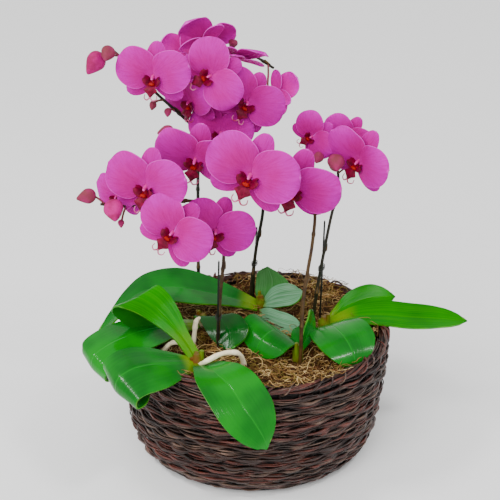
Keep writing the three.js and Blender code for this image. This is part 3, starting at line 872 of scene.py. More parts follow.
@dataclass
class Basket:
    """The woven basket: courses of twig bundles round uprights, a twisted border and a base.

    Attributes:
        pairs: half the number of uprights, which the courses pass in and out of.
        wave: how far a twig weaves in and out, round wave_centre.
        upright_depth: how far inside the wall the uprights stand; lining_depth sets the lining's.
        outer_limit: the radius that nothing passes.
        length_overlap: the turn by which one length of twig runs on past the next.
        border_twists: how often the border's bundles wind round each other in one radian.
    """

    height: float = WALL_TOP
    courses: int = 16
    pairs: int = 20
    twigs_per_course: int = 6
    wave: float = 2.0
    wave_centre: float = -0.6
    upright_depth: float = 2.4
    lining_depth: float = 7.4
    outer_limit: float = 150.1
    lengths_per_round: int = 5
    length_overlap: float = 0.2
    samples_per_round: int = 230
    twig_radii: tuple[float, ...] = (0.6, 0.8, 1.05, 1.5)
    splinter_count: int = 130
    base_pitch: float = 3.4
    base_spokes: int = 16
    binding_count: int = 40
    border_radius: float = 143
    border_height: float = 139.8
    border_strand: float = 3.7
    border_top: float = 147.2
    border_twists: float = 13 / 3
    seed: int = 7

    def lengths(self, rng: Draws, parts: int) -> list[tuple[float, float]]:
        """The turns at which the lengths of one round of twig start and end."""
        steps = rng.uniform(0.7, 1.3, parts)
        cuts = rng.uniform(0, 2 * np.pi) + np.concatenate([[0], np.cumsum(steps)]) / steps.sum() * 2 * np.pi
        return [(first, last + self.length_overlap) for first, last in zip(cuts[:-1], cuts[1:])]

    def weavers(self, courses: Sequence[int]) -> list[Strand]:
        """The twigs of some of the courses, in lengths that end inside the wall."""
        strands = []
        for course in courses:
            rng = np.random.default_rng(self.seed + 50 * course)
            turn = np.linspace(0, 2 * np.pi, 361)
            sway = wander(rng, turn, 16, 2.2)
            sway += (sway[0] - sway[-1]) * turn / (2 * np.pi)
            for lane in range(self.twigs_per_course):
                for first, last in self.lengths(rng, self.lengths_per_round):
                    strands.append(self.weaver(rng, course, lane, first, last, (turn, sway)))
        return strands

    def weaver(
        self,
        rng: Draws,
        course: int,
        lane: int,
        first: float,
        last: float,
        sway: tuple[Array, Array],
    ) -> Strand:
        """One length of one twig.

        Args:
            rng: the seeded source of its irregularity.
            course: the number of its course from the bottom.
            lane: the number of its twig in the course's bundle.
            first: the turn at which it starts.
            last: the turn at which it ends.
            sway: how the whole bundle rises and falls, as turns and heights.

        Returns:
            The twig.
        """
        pitch = self.height / self.courses
        count = int((last - first) / (2 * np.pi) * self.samples_per_round) + 2
        turn = np.linspace(first, last, count)
        share = np.linspace(0, 1, count)
        ends = ease(share, 0, 0.07) * ease(-share, -1, -0.93)
        weave = np.cos(turn * self.pairs + np.pi * course + 0.8 * np.sin(3 * turn + course))
        middle = (self.twigs_per_course - 1) / 2
        shift = (lane - middle) * pitch / self.twigs_per_course * (0.9 + 0.25 * weave)
        height = (course + 0.5) * pitch + shift + np.interp(turn % (2 * np.pi), *sway)
        slant = rng.normal(0, 2.8) * (2 * share - 1)
        height = height + slant + wander(rng, turn, 40, 2.3) + rng.uniform(-0.7, 0.7)
        bulge = 0.7 * (1 - ((lane - middle) / (middle + 0.5)) ** 2)
        lift = self.wave_centre + self.wave * weave + bulge + rng.normal(0, 0.8)
        lift = lift + wander(rng, turn, 46, 1.5)
        radius = wall_radius(np.clip(height, 1.2, self.height)) + lift - 3.0 * (1 - ends)
        thick = rng.choice(self.twig_radii) * (0.45 + 0.55 * ends)
        thick = thick * (1 + 0.16 * np.sin(turn * 31 + course) + 0.12 * np.sin(turn * 67 + lane))
        points = ring_points(turn, np.minimum(radius, self.outer_limit - thick), np.maximum(height, 1.9))
        return Strand(points, thick, self.kind(rng, (first + last) / 2, course))

    def kind(self, rng: Draws, turn: float, course: int) -> int:
        """A twig's finish: redder at the front right and greyer at the left."""
        redness = 0.5 + 0.35 * math.sin(1.3 * turn + 0.9) + 0.25 * math.sin(course * 0.9 + turn)
        if rng.uniform() < 0.34:
            return 0
        return 1 if rng.uniform() < redness else 2

    def splinters(self) -> list[Strand]:
        """Short split ends that stand out of the weave."""
        rng = np.random.default_rng(self.seed + 5)
        share = np.linspace(0, 1, 8)
        strands = []
        for _ in range(self.splinter_count):
            turn = rng.uniform(0, 2 * np.pi) + rng.choice([-1, 1]) * rng.uniform(0.06, 0.26) * share
            height = rng.uniform(9, self.height - 5) + rng.normal(0, 2.4) * share
            radius = wall_radius(height) + 0.6 + rng.uniform(0.8, 3.0) * share**2
            thick = rng.uniform(0.5, 0.95) * (1 - 0.6 * share)
            points = ring_points(turn, np.minimum(radius, self.outer_limit - thick), height)
            strands.append(Strand(points, thick, int(rng.choice([0, 0, 1, 2]))))
        return strands

    def uprights(self) -> list[Strand]:
        """The upright sticks that the weavers pass in front of and behind."""
        rng = np.random.default_rng(self.seed + 1)
        strands = []
        for i in range(2 * self.pairs):
            height = np.linspace(2.5, self.height + 4, 16)
            turn = np.pi * i / self.pairs + 0.02 * np.sin(height / 30 + i)
            radius = wall_radius(height) - self.upright_depth
            # Finish 3 is the near-black twig, painted shade for sticks that stand behind the weave
            strands.append(Strand(ring_points(turn, radius, height), rng.uniform(1.5, 1.9), 3))
        return strands

    def lining(self) -> Piece:
        """The inner face behind the weave, with the floor of the basket, near black as painted shade."""

        def surface(across: Array, along: Array) -> Array:
            turn = np.pi * across
            on_wall = along >= 0.25
            height = np.where(on_wall, 4.2 + (along - 0.25) / 0.75 * (self.height + 0.8), 4.2)
            wall = wall_radius(np.clip(height, 14, self.height)) - self.lining_depth
            wall = wall + 3.6 * ease(height, self.height - 12, self.height)
            radius = np.where(on_wall, wall, along / 0.25 * 100)
            return ring_points(turn, np.maximum(radius, 0.5), height)

        piece = sheet("basket_lining", 72, 20, surface)
        close_seams(piece)
        thicken(piece, 1.6)
        # Its near-black finish is painted shade
        dress(piece, Finish.TWIG_UPRIGHT)
        return piece

    def base_twigs(self) -> list[Strand]:
        """The underside: rounds of twigs woven over spokes, touching the floor."""
        rng = np.random.default_rng(self.seed + 2)
        strands = []
        turn = np.linspace(0, 2 * np.pi, 97)
        for i, radius in enumerate(np.arange(9, 108, self.base_pitch)):
            height = 2.5 + 0.9 * np.cos(self.base_spokes * turn + np.pi * i)
            thick = rng.uniform(1.35, 1.6)
            drift = wander(rng, turn, 9, 0.5)
            points = ring_points(turn, radius + drift, height)
            strands.append(Strand(points, thick, int(rng.choice([0, 0, 1, 2]))))
        for i in range(self.base_spokes):
            angle = 2 * np.pi * (i + 0.5) / self.base_spokes
            reach = np.linspace(2, 112, 12)
            strands.append(Strand(ring_points(angle, reach, 3.9), 1.5, 0))
        for i in range(8):
            angle = np.pi * i / 8
            reach = np.linspace(-12, 12, 5)
            strands.append(Strand(ring_points(angle, reach, 1.7 + 0.1 * i), 1.5, 1))
        return strands

    def on_border(self, turn: Array, out: Array, up: Array, thick: Array, finish: int) -> Strand:
        """A twig of the border, kept inside the basket's outline.

        Args:
            turn: the turn of each of its points.
            out: how far each is outside the border's middle line.
            up: how far each is above it.
            thick: its radius.
            finish: its finish.

        Returns:
            The twig.
        """
        radius = np.minimum(self.border_radius + out, self.outer_limit - thick)
        height = np.minimum(self.border_height + up, self.border_top - thick)
        return Strand(ring_points(turn, radius, height), thick, finish)

    def border(self) -> list[Strand]:
        """The border: three bundles of twigs twisted round each other along the rim."""
        rng = np.random.default_rng(self.seed + 3)
        strands = []
        for bundle in range(3):
            for lane in range(5):
                for first, last in self.lengths(rng, self.lengths_per_round - 1):
                    count = int((last - first) * 48) + 2
                    turn = np.linspace(first, last, count)
                    share = np.linspace(0, 1, count)
                    ends = ease(share, 0, 0.06) * ease(-share, -1, -0.94)
                    twist = self.border_twists * turn + 2 * np.pi * bundle / 3
                    own = 1.7 * twist + 2 * np.pi * lane / 5 + rng.uniform(-0.4, 0.4)
                    out = self.border_strand * np.cos(twist) + 1.9 * np.cos(own)
                    up = 0.85 * self.border_strand * np.sin(twist) + 1.9 * np.sin(own)
                    out = out + wander(rng, turn, 30, 1.3)
                    up = up + wander(rng, turn, 30, 1.3)
                    thick = rng.choice([0.8, 1.1, 1.5]) * (0.5 + 0.5 * ends) * (1 + 0.12 * np.sin(turn * 43))
                    strands.append(self.on_border(turn, out, up, thick, int(rng.choice([0, 1, 1, 1, 2]))))
        return strands

    def bindings(self) -> list[Strand]:
        """Twigs that slant over the border and tie it to the wall at uneven places."""
        rng = np.random.default_rng(self.seed + 4)
        strands = []
        for i in range(self.binding_count):
            start = 2 * np.pi * i / self.binding_count + rng.uniform(-0.06, 0.06)
            share = np.linspace(0, 1, 14)
            turn = start + rng.uniform(0.1, 0.3) * share
            angle = -0.8 * np.pi + 1.5 * np.pi * share
            out = (self.border_strand + 2.6) * np.cos(angle)
            up = (self.border_strand + 2.4) * np.sin(angle)
            thick = rng.uniform(0.8, 1.4)
            strands.append(self.on_border(turn, out, up, thick, int(rng.choice([0, 1, 1, 2]))))
        return strands

    def loops(self) -> list[Strand]:
        """The twig loop and the loose ends that stand out of the border."""
        strands = []
        share = np.linspace(0, 1, 22)
        turn = math.radians(42) + 0.17 * share
        height = self.border_height + 3 + 9 * np.sin(np.pi * share) ** 0.7
        radius = 141 - 3 * share
        strands.append(Strand(ring_points(turn, radius, height), 1.1, 0))
        for degrees, reach in ((-38, 11), (-20, 9), (118, 12), (205, 8), (256, 9), (301, 12)):
            turn = math.radians(degrees) + 0.1 * share
            height = self.border_height + 1 + reach * 0.45 * share**1.5
            radius = self.border_radius - 2 - 4 * share
            tapering = 1.3 - 0.8 * share
            strands.append(Strand(ring_points(turn, radius, height), tapering, int(degrees % 3 == 0)))
        return strands

    def mark_lift(self, piece: Piece, from_border: bool) -> None:
        """Stores how far each point stands out of the wall, or of the border's middle line, for the painted
        shade on low points.
        """
        x, y, z = points_of(piece).T / MM
        out = np.hypot(x + lean_at(z), y)
        lift = (out - wall_radius(z) + 3.2) / 6
        if from_border:
            lift = (np.hypot(out - self.border_radius, z - self.border_height) - 0.6) / 4.2
        mark(piece, LIFT, np.clip(lift, 0, 1)[:, None])

    def build(self) -> None:
        """Builds the basket and puts it in place of its two plain solids."""
        twigs = (Finish.TWIG_DARK, Finish.TWIG_RED, Finish.TWIG_GREY, Finish.TWIG_UPRIGHT)
        half = self.courses // 2
        halves = {"basket_weave_lower": range(half), "basket_weave_upper": range(half, self.courses)}
        for name, courses in halves.items():
            loose = self.splinters() if courses[0] else []
            wall = swept(name, self.weavers(courses) + loose, 1)
            self.mark_lift(wall, False)
            dress(wall, *twigs)
            settle(name, [wall], ["basket_body"])
        inside = swept("basket_uprights", self.uprights() + self.base_twigs(), 1)
        mark(inside, LIFT, np.ones(3))
        dress(inside, *twigs)
        settle("basket_frame", [inside, self.lining()], ["basket_body"])
        border = swept("basket_border", self.border() + self.bindings() + self.loops(), 1)
        self.mark_lift(border, True)
        dress(border, *twigs)
        settle("basket_border", [border], ["basket_rim"])


# Moss


@dataclass
class MossBed:
    """The moss: a lumpy bed under a tangle of dry curly fibres, with a few bits of bark.

    Attributes:
        edge: its height at the basket's wall.
        crown: how much higher its middle is.
        reach: its radius.
        bank: how much it rises towards the wall on the side of bank_turn.
        spills: the fibres that lie over the border, round each of spill_turns in degrees.
    """

    edge: float = 124
    crown: float = 12
    reach: float = 131
    bank: float = 15
    bank_turn: float = 0.95
    fibres: int = 2450
    spills: int = 330
    spill_turns: tuple[int, ...] = (243, 272, 281, 50, 291, 300, 64)
    border_top: float = 148.5
    fibre_points: int = 9
    seed: int = 21

    def level(self, x: Array, y: Array) -> Array:
        """The bed's height at a place: lumpy, and banked up towards the back and right."""
        out = np.hypot(x, y) / 146
        lumps = np.sin(x / 11 + 1.3) * np.cos(y / 9) + np.sin((x + y) / 17 + 0.5)
        facing = 0.5 + 0.5 * np.cos(np.arctan2(y, x) - self.bank_turn)
        banked = self.bank * facing * ease(out, 0.55, 0.88)
        return self.edge + self.crown * (1 - out * out) + 2.2 * lumps + banked

    def bed(self) -> Piece:
        """The lumpy bed."""

        def surface(across: Array, along: Array) -> Array:
            turn = np.pi * across
            radius = np.maximum(along * (self.reach + 4), 0.5)
            x, y = radius * np.cos(turn), radius * np.sin(turn)
            rough = np.sin(x * 0.9 + 2 * np.sin(y * 0.3)) * np.cos(y * 0.8 + 1.5 * np.sin(x * 0.25))
            drop = 40 * ease(along, 0.97, 1.0)
            return rows_of(x, y, self.level(x, y) + 0.9 * rough - 1.5 - drop)

        piece = sheet("moss_bed", 96, 48, surface)
        close_seams(piece)
        bpy.ops.object.shade_smooth()
        dress(piece, Finish.MOSS)
        return piece

    def fibre(self, rng: Draws, x: float, y: float, spill: bool = False) -> Strand:
        """One curled fibre that starts over a place.

        Args:
            rng: the seeded source of its curl.
            x: where it starts.
            y: where it starts.
            spill: true for a fibre that lies over the border.

        Returns:
            The fibre.
        """
        count = self.fibre_points
        share = np.linspace(0, 1, count)
        step = rng.uniform(2.2, 5.6)
        heading = math.atan2(y, x) + rng.normal(0, 0.9) if spill else rng.uniform(0, 2 * np.pi)
        curl = rng.normal(0, 0.6)
        headings = heading + curl * np.arange(count) + np.cumsum(rng.normal(0, 0.24, count))
        xs = x + np.concatenate([[0], np.cumsum(np.cos(headings[:-1]))]) * step
        ys = y + np.concatenate([[0], np.cumsum(np.sin(headings[:-1]))]) * step
        out = np.hypot(xs, ys)
        pull = np.minimum(1, (148 if spill else self.reach + 5) / np.maximum(out, 1))
        xs, ys = xs * pull, ys * pull
        arch = np.sin(np.pi * share) * abs(rng.normal(0, 3.4))
        height = self.level(xs, ys) + rng.uniform(-0.9, 2.6) + arch
        if spill:
            over = ease(out, self.reach - 4, self.reach + 8)
            height = height + (self.border_top + 2 * np.sin(9 * share + x) - height) * over
        thick = rng.uniform(0.24, 0.55) * (1 - 0.35 * share)
        kind = int(rng.choice([0, 0, 1, 2, 2, 3]))
        return Strand(rows_of(xs, ys, height), thick, kind)

    def tangle(self) -> Piece:
        """The fibres over the bed, and the few that lie over the border."""
        rng = np.random.default_rng(self.seed)
        strands = []
        for _ in range(self.fibres):
            radius, turn = self.reach * math.sqrt(rng.uniform()), rng.uniform(0, 2 * np.pi)
            strands.append(self.fibre(rng, radius * math.cos(turn), radius * math.sin(turn)))
        for i in range(self.spills):
            turn = math.radians(self.spill_turns[i % len(self.spill_turns)]) + rng.normal(0, 0.06)
            radius = rng.uniform(118, 130)
            strands.append(self.fibre(rng, radius * math.cos(turn), radius * math.sin(turn), True))
        piece = swept("moss_tangle", strands, 0)
        kinds = (Finish.FIBRE_TAN, Finish.FIBRE_PALE, Finish.FIBRE_DARK, Finish.FIBRE_OLIVE)
        dress(piece, *kinds)
        return piece

    def bark(self) -> Piece:
        """The split bits of bark at the back of the moss."""
        strands = []
        for x, y, slope, tall in ((-58, 110, 0.5, 20), (-66, 106, 0.15, 16), (-50, 113, 0.9, 15)):
            share = np.linspace(0, 1, 8)
            base = self.level(x, y) - 4
            line = rows_of(x + 9 * slope * share, y + 3 * share, base + (tall + 4) * share)
            width = 3.6 * (1 - share**2 * 0.8) * (1 + 0.2 * np.sin(9 * share))
            strands.append(Strand(line, width, 0))
        piece = swept("moss_bark", strands, 2)
        mark(piece, LIFT, np.ones(3))
        dress(piece, Finish.TWIG_RED)
        return piece

    def build(self) -> None:
        """Builds the moss in place of its plain mound, and dresses the medium under it."""
        settle("moss_bed", [self.bed()], ["moss_top"])
        settle("moss_fibres", [self.tangle()], ["moss_top"])
        settle("moss_bark", [self.bark()])
        dress(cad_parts["growing_medium"], Finish.MEDIUM)


# Leaves and crowns


@dataclass
class Leaf:
    """A leaf that follows a spine from its crown to its tip.

    Attributes:
        channel: how deep it folds along its midrib; below 0 it bends the other way.
        across: the way its width points at its foot, and at its tip where that differs.
        spoon: true for an outline that is widest near the tip.
    """

    name: str
    width: float
    channel: float
    across: Sequence[Triple]
    spine: Sequence[Triple]
    spoon: bool = False
    finish: Finish = Finish.LEAF
    slot: str = "leaf"

    # Half widths along a blade, as shares of the widest
    BROAD = (
        (0, 0.3), (0.12, 0.5), (0.32, 0.86), (0.58, 1.0),
        (0.8, 0.87), (0.92, 0.56), (0.98, 0.24), (1, 0.03),
    )
    SPOON = (
        (0, 0.24), (0.18, 0.34), (0.36, 0.66), (0.6, 1.0),
        (0.8, 0.9), (0.92, 0.6), (0.98, 0.3), (1, 0.04),
    )
    THICKNESS = 1.9
    COLUMNS = 20
    ROW_STEP = 3.4

    def surface(self) -> Surface:
        """The leaf's middle surface."""
        path = SmoothPath(self.spine)
        first, last = (unit(np.array(self.across[i], float)) for i in (0, -1))
        outline = self.SPOON if self.spoon else self.BROAD
        phase = sum(map(ord, self.name)) % 7

        def place(across: Array, along: Array) -> Array:
            share = np.sin(along * np.pi / 2) ** 0.85 * 0.35 + along * 0.65
            side = unit(first + (last - first) * share[:, None])
            tangent = path.tangent(share)
            face = unit(np.cross(side, tangent))
            half = self.width / 2 * smooth_profile(share, outline)
            bend = np.sqrt(across**2 + 0.012) - 0.5
            ripple = 0.016 * self.width * across**2 * np.sin(share * 11 + phase + across * 1.2)
            groove = -0.5 * np.exp(-((across / 0.05) ** 2)) * (1 - share)
            lift = self.channel * half * bend + ripple * ease(share, 0.15, 0.4) + groove
            tip = 3.0 * np.maximum(share - 0.9, 0) * 10 * (1 - across**2)
            return (
                path.at(share)
                + side * (half * across)[:, None]
                + face * lift[:, None]
                + tangent * tip[:, None]
            )

        return place

    def blade(self) -> Piece:
        """The finished blade, with its own face, back and edge."""
        rows = int(SmoothPath(self.spine).length / self.ROW_STEP)
        piece = sheet(self.name, self.COLUMNS, rows, self.surface())
        dress(piece, self.finish, Finish.LEAF_BACK, Finish.LEAF_EDGE)
        thicken(piece, self.THICKNESS, back=1, edge=2)
        return piece

    def build(self) -> None:
        """Builds the leaf in place of its plain blade."""
        settle(f"{self.name}_blade", [self.blade()], [self.name])


LEAVES: tuple[Leaf, ...] = (
    Leaf("leaf_front_hanging", 60, 0.12, ((-0.86, -0.4, 0.1), (-0.7, -0.3, -0.62)),
         ((-66, -88, 142), (-56, -108, 150), (-44, -130, 152), (-32, -148, 148), (-18, -166, 135),
          (-5, -177, 119), (4, -182, 104), (6, -183, 96))),
    Leaf("leaf_front_folded", 70, -0.18, ((-0.3, 0.9, 0.3), (-0.68, 0.68, 0.26)),
         ((-72, -88, 142), (-96, -106, 151), (-119, -119, 156), (-138, -129, 155), (-150, -136, 148),
          (-151, -137, 137), (-141, -130, 130), (-122, -119, 131))),
    Leaf("leaf_front_rising", 58, 0.1, ((0.85, 0.5, 0.1), (0.7, 0.66, 0.26)),
         ((-71, -79, 144), (-86, -66, 163), (-104, -54, 182), (-121, -47, 196), (-135, -44, 202),
          (-140, -38, 195), (-134, -28, 180), (-121, -20, 159), (-106, -16, 141)), True, Finish.LEAF_STRIPED),
    Leaf("leaf_left_folded", 62, -0.1, ((-0.3, 0.95, 0.02), (-0.6, 0.74, 0.26)),
         ((-72, 8, 142), (-104, -18, 151), (-140, -48, 157), (-168, -72, 155), (-182, -84, 147),
          (-183, -86, 136), (-172, -78, 130), (-154, -67, 132))),
    # Its darker finish is painted shade
    Leaf("leaf_left_broad", 54, 0.08, ((-0.85, 0.3, -0.2),),
         ((-66, 8, 142), (-58, -2, 156), (-46, -14, 161), (-37, -32, 156), (-34, -44, 146), (-35, -50, 140)),
         finish=Finish.LEAF_DEEP),
    Leaf("leaf_back_arching", 62, 0.14, ((0.1, 0.97, 0.22),),
         ((-2, 54, 142), (-34, 50, 156), (-70, 44, 168), (-104, 34, 178), (-137, 18, 179), (-157, 0, 170),
          (-170, -18, 160), (-181, -30, 152))),
    Leaf("leaf_back_upright", 40, 0.14, ((0.97, -0.1, -0.15),),
         ((4, 60, 140), (13, 68, 152), (16, 76, 165), (11, 82, 178)),
         finish=Finish.LEAF_DUSTY, slot="leaf_pale"),
    Leaf("leaf_back_bowed", 70, 0.03, ((-0.7, 0.68, 0.18),),
         ((27, -22, 136), (25, -26, 147), (20, -33, 155), (13, -40, 158), (5, -48, 155), (-1, -53, 147),
          (-4, -56, 136))),
    Leaf("leaf_back_right", 32, 0.12, ((0.1, -0.85, -0.5),),
         ((5, 56, 144), (18, 46, 157), (34, 37, 165), (50, 33, 169)),
         finish=Finish.LEAF_PALE, slot="leaf_pale"),
    Leaf("leaf_back_low", 34, 0.12, ((0, -0.93, -0.36),),
         ((1, 44, 138), (12, 20, 143), (28, 4, 144), (49, -4, 144)),
         finish=Finish.LEAF_PALE, slot="leaf_pale"),
    Leaf("leaf_right_rolled", 66, 0.03, ((-0.92, -0.3, -0.14),),
         ((77, 6, 140), (80, -12, 151), (86, -35, 158), (94, -56, 158), (101, -72, 150), (104, -79, 141),
          (102, -80, 134))),
    Leaf("leaf_right_long", 44, 0.16, ((0, -0.97, -0.25),),
         ((78, 14, 138), (108, 16, 148), (142, 14, 151), (174, 6, 152), (208, -2, 154), (235, -6, 153)),
         finish=Finish.LEAF_FRESH, slot="leaf_pale"),
    Leaf("leaf_right_fresh", 34, 0.14, ((0.1, -0.75, -0.66),),
         ((80, 22, 139), (104, 40, 149), (131, 52, 154), (159, 57, 153)),
         finish=Finish.LEAF_FRESH, slot="leaf_fresh"),
)


@dataclass
class Crown:
    """A plant's short stem in its sheaths, with the roots and small leaves it bears."""

    name: str
    x: float
    y: float
    top: float
    radius: float
    roots: Sequence[Sequence[Triple]] = ()
    shoots: Sequence[Leaf] = ()

    FOOT = 112
    SHEATHS = 4
    ROOT_RADIUS = 2.9

    def sheaths(self) -> list[Strand]:
        """The stem and the leaf bases wrapped round it."""
        strands = []
        rise = np.linspace(0, 1, 18)
        swell = smooth_profile(rise, ((0, 0.7), (0.3, 0.85), (0.62, 1.0), (0.85, 0.75), (1, 0.45)))
        ridges = 1 + 0.05 * np.sin(rise * 34)
        height = self.FOOT + (self.top - self.FOOT) * rise
        line = rows_of(self.x, self.y, height)
        strands.append(Strand(line, self.radius * swell * ridges * 0.86))
        for i in range(self.SHEATHS):
            turn = 1.6 * i + self.x
            out = self.radius * (0.25 + 0.35 * rise)
            height = self.FOOT + 2 + (self.top - self.FOOT + 2 - 4 * i) * rise
            line = rows_of(self.x + out * math.cos(turn), self.y + out * math.sin(turn), height)
            strands.append(Strand(line, self.radius * 0.5 * (1 - 0.45 * rise**2)))
        return strands

    def root_strands(self) -> list[Strand]:
        """The thick aerial roots, uneven in width."""
        strands = []
        for k, points in enumerate(self.roots):
            path = SmoothPath(points)
            share = np.linspace(0, 1, 40)
            bumps = 1 + 0.09 * np.sin(share * 23 + k) + 0.06 * np.sin(share * 51)
            strands.append(Strand(path.at(share), self.ROOT_RADIUS * bumps, 1))
        return strands

    def build(self) -> None:
        """Builds the crown in place of its plain stem."""
        stem = swept(self.name, self.sheaths() + self.root_strands(), 4)
        dress(stem, Finish.CROWN, Finish.ROOT)
        parts = [stem, *(shoot.blade() for shoot in self.shoots)]
        settle(f"{self.name}_stem", parts, [self.name])


CROWNS: tuple[Crown, ...] = (
    Crown("crown_front", -69, -84, 152, 9, roots=(
        ((-67, -86, 138), (-58, -104, 154), (-41, -98, 160), (-24, -90, 156), (-16, -76, 130)),
        ((-68, -78, 138), (-82, -52, 147), (-97, -50, 148), (-112, -44, 130)),
    )),
    Crown("crown_left", -66, 14, 152, 8, roots=(
        ((-66, 10, 138), (-68, -2, 152), (-72, -12, 156), (-76, -24, 130)),
    )),
    Crown("crown_back", 2, 58, 154, 7),
    Crown("crown_centre", 42, -62, 152, 7, shoots=(
        Leaf("shoot_tall", 22, 0.1, ((0.3, 0.1, -0.9),),
             ((44, -58, 142), (52, -46, 154), (58, -28, 162), (60, -8, 166))),
        Leaf("shoot_low", 18, 0.1, ((0.9, -0.3, 0.1),),
             ((42, -56, 142), (44, -42, 152), (45, -28, 156))),
    )),
    Crown("crown_right", 75, 11, 150, 8),
)


# Blooms


@dataclass
class Bloom:
    """A moth orchid bloom in its own frame: x right, y to the dorsal sepal, z as it faces.

    Attributes:
        spike: the flower stem that bears it.
        lip: true where its lip has a plain solid of its own.
        cup: how far its petals curve forward.
    """

    name: str
    spike: str
    at: Triple
    yaw: float
    pitch: float
    roll: float
    span: float
    lip: bool
    cup: float = 0.06

    FULL_SPAN = 95
    # Length and half width, as shares of the bloom's span
    PETAL = (0.565, 0.3)
    SEPAL = (0.485, 0.145)
    TEPAL_THICKNESS = 0.95
    PETAL_LAYER = 0.024
    # The column's middle line and radii in a bloom of full span
    COLUMN_LINE = ((0, 0, -3), (0, 0.4, 1), (0, 0.6, 3.6), (0, 0.1, 6.2), (0, -1, 8.4), (0, -2.2, 9.6))
    COLUMN_RADII = (2.2, 2.9, 2.6, 2.2, 2.2, 1.5)
    PETAL_TILT = 23
    LIP_SCALE = 1.15
    LATERAL_SPREAD = 56

    @property
    def k(self) -> float:
        """Its size beside a bloom of 95 mm."""
        return self.span / self.FULL_SPAN

    @property
    def lip_k(self) -> float:
        """Its lip's size beside that of a bloom of 95 mm."""
        return self.LIP_SCALE * self.k

    @property
    def axes(self) -> Array:
        """Its right, dorsal and facing directions as rows."""
        turn, rise, spin = (math.radians(a) for a in (self.yaw, self.pitch, self.roll))
        facing = np.array([math.sin(turn) * math.cos(rise), -math.cos(turn) * math.cos(rise), math.sin(rise)])
        level = np.array([math.cos(turn), math.sin(turn), 0])
        upright = np.cross(facing, level)
        right = level * math.cos(spin) + upright * math.sin(spin)
        return np.stack([right, np.cross(facing, right), facing])

    def seat(self, points: Array) -> Array:
        """Points of the bloom's own frame, placed in the arrangement."""
        return points @ self.axes + np.array(self.at, float)

    def tepal(self, label: str, angle: float, is_petal: bool, layer: float, seed: int) -> Piece:
        """One petal or sepal.

        Args:
            label: its name.
            angle: the way it points from +x, in degrees.
            is_petal: true for the two broad petals.
            layer: how far it stands in front of its neighbour.
            seed: picks its ripple.

        Returns:
            The finished petal or sepal.
        """
        rng = np.random.default_rng(seed)
        phase, wobble = rng.uniform(0, 6), rng.uniform(0.7, 1.2)
        turn = math.radians(angle)
        outwards = np.array([math.cos(turn), math.sin(turn), 0])
        across_it = np.array([math.sin(turn), -math.cos(turn), 0])
        length, half = self.PETAL if is_petal else self.SEPAL

        def surface(across: Array, along: Array) -> Array:
            s = 0.45 * along + 0.55 * (1 - np.cos(np.pi * along)) / 2
            round_ = np.clip(1 - np.abs(2 * s**0.9 - 1) ** (2.3 if is_petal else 2.1), 0, None) ** 0.46
            width = self.span * half * np.maximum(round_, 0.1 * (1 - s))
            reach = self.span * (0.02 + (length - 0.02) * s)
            if is_petal:
                height = 0.02 + 0.07 * np.sin(2.4 * s) - 0.05 * s * s - 0.05 * s * across**2 + layer
                height = height + self.cup * s
                ripple = 0.012 * np.abs(across) ** 3 * np.sin(9 * s * wobble + phase + across)
                groove = -0.005 * np.exp(-((across / 0.09) ** 2)) * (1 - s)
            else:
                height = -0.012 - 0.05 * s * s + 0.03 * s * (1 - s) - 0.02 * across**2
                ripple = 0.005 * across**2 * np.sin(7 * s * wobble + phase)
                groove = 0.005 * np.exp(-((across / 0.14) ** 2)) * (1 - s)
            lift = self.span * (height + ripple + groove)
            sideways = width * across
            local = outwards * reach[:, None] + across_it * sideways[:, None]
            local[:, 2] = lift
            bearing = np.arctan2(sideways, reach + 0.05 * self.span) + angle
            distance = np.hypot(sideways, reach) / self.span
            fan.append(rows_of(bearing, distance, np.maximum(np.abs(across), along)))
            return self.seat(local)

        fan: list[Array] = []
        piece = sheet(label, 20 if is_petal else 12, 22 if is_petal else 18, surface)
        mark(piece, FAN, fan[0])
        # The back finish is painted lighter than the face, as painted light
        dress(piece, Finish.PETAL, Finish.PETAL_BACK, Finish.PETAL_EDGE)
        thicken(piece, self.TEPAL_THICKNESS, back=1, edge=2)
        return piece

    def column(self) -> Piece:
        """The column that hangs over the lip, with its cap."""
        k = self.k
        line, radii = np.array(self.COLUMN_LINE) * k, np.array(self.COLUMN_RADII) * k
        cap = np.array([(0, -1.4, 8.2), (0, -2.5, 9.9), (0, -3.1, 10.6)]) * k
        strands = [Strand(self.seat(line), radii), Strand(self.seat(cap), np.array([1.5, 1.5, 0.7]) * k, 1)]
        piece = swept(f"column_{self.name}", strands, 4)
        dress(piece, Finish.COLUMN, Finish.COLUMN_CAP)
        return piece

    def middle_lobe(self) -> Piece:
        """The lip's middle lobe: an arrowhead on a narrow claw, bent forward and down."""
        path = SmoothPath([(0, -3.4, 2.4), (0, -7.4, 5), (0, -11.5, 9.6), (0, -16.5, 12.6), (0, -24, 11.6)])
        widths = ((0, 1.6), (0.22, 2.6), (0.4, 4.4), (0.6, 7.2), (0.72, 7.9), (0.86, 4.4), (1, 0.9))

        def surface(across: Array, along: Array) -> Array:
            points = path.at(along)
            points[:, 0] += smooth_profile(along, widths) * across
            ridge = 0.7 * np.exp(-((across / 0.22) ** 2)) * ease(-along, -0.9, -0.4)
            points[:, 2] += -1.9 * across**2 * ease(along, 0.3, 0.7) + ridge
            points[:, 1] += 3.0 * across**2 * ease(along, 0.5, 0.85)
            return self.seat(points * self.lip_k)

        piece = sheet(f"lip_middle_{self.name}", 14, 18, surface)
        dress(piece, Finish.LIP)
        thicken(piece, 1.1 * self.lip_k)
        return piece

    def side_lobe(self, side: int) -> Piece:
        """One of the lip's side lobes, which cup the column from left and right."""
        claw = np.array([side * 1.6, -8.2, 4.2])
        rise = unit(np.array([side * 0.72, 0.6, 0.36]))
        width = unit(np.array([side * 0.36, -0.72, 0.58]))
        inwards = unit(np.cross(rise, width)) * side

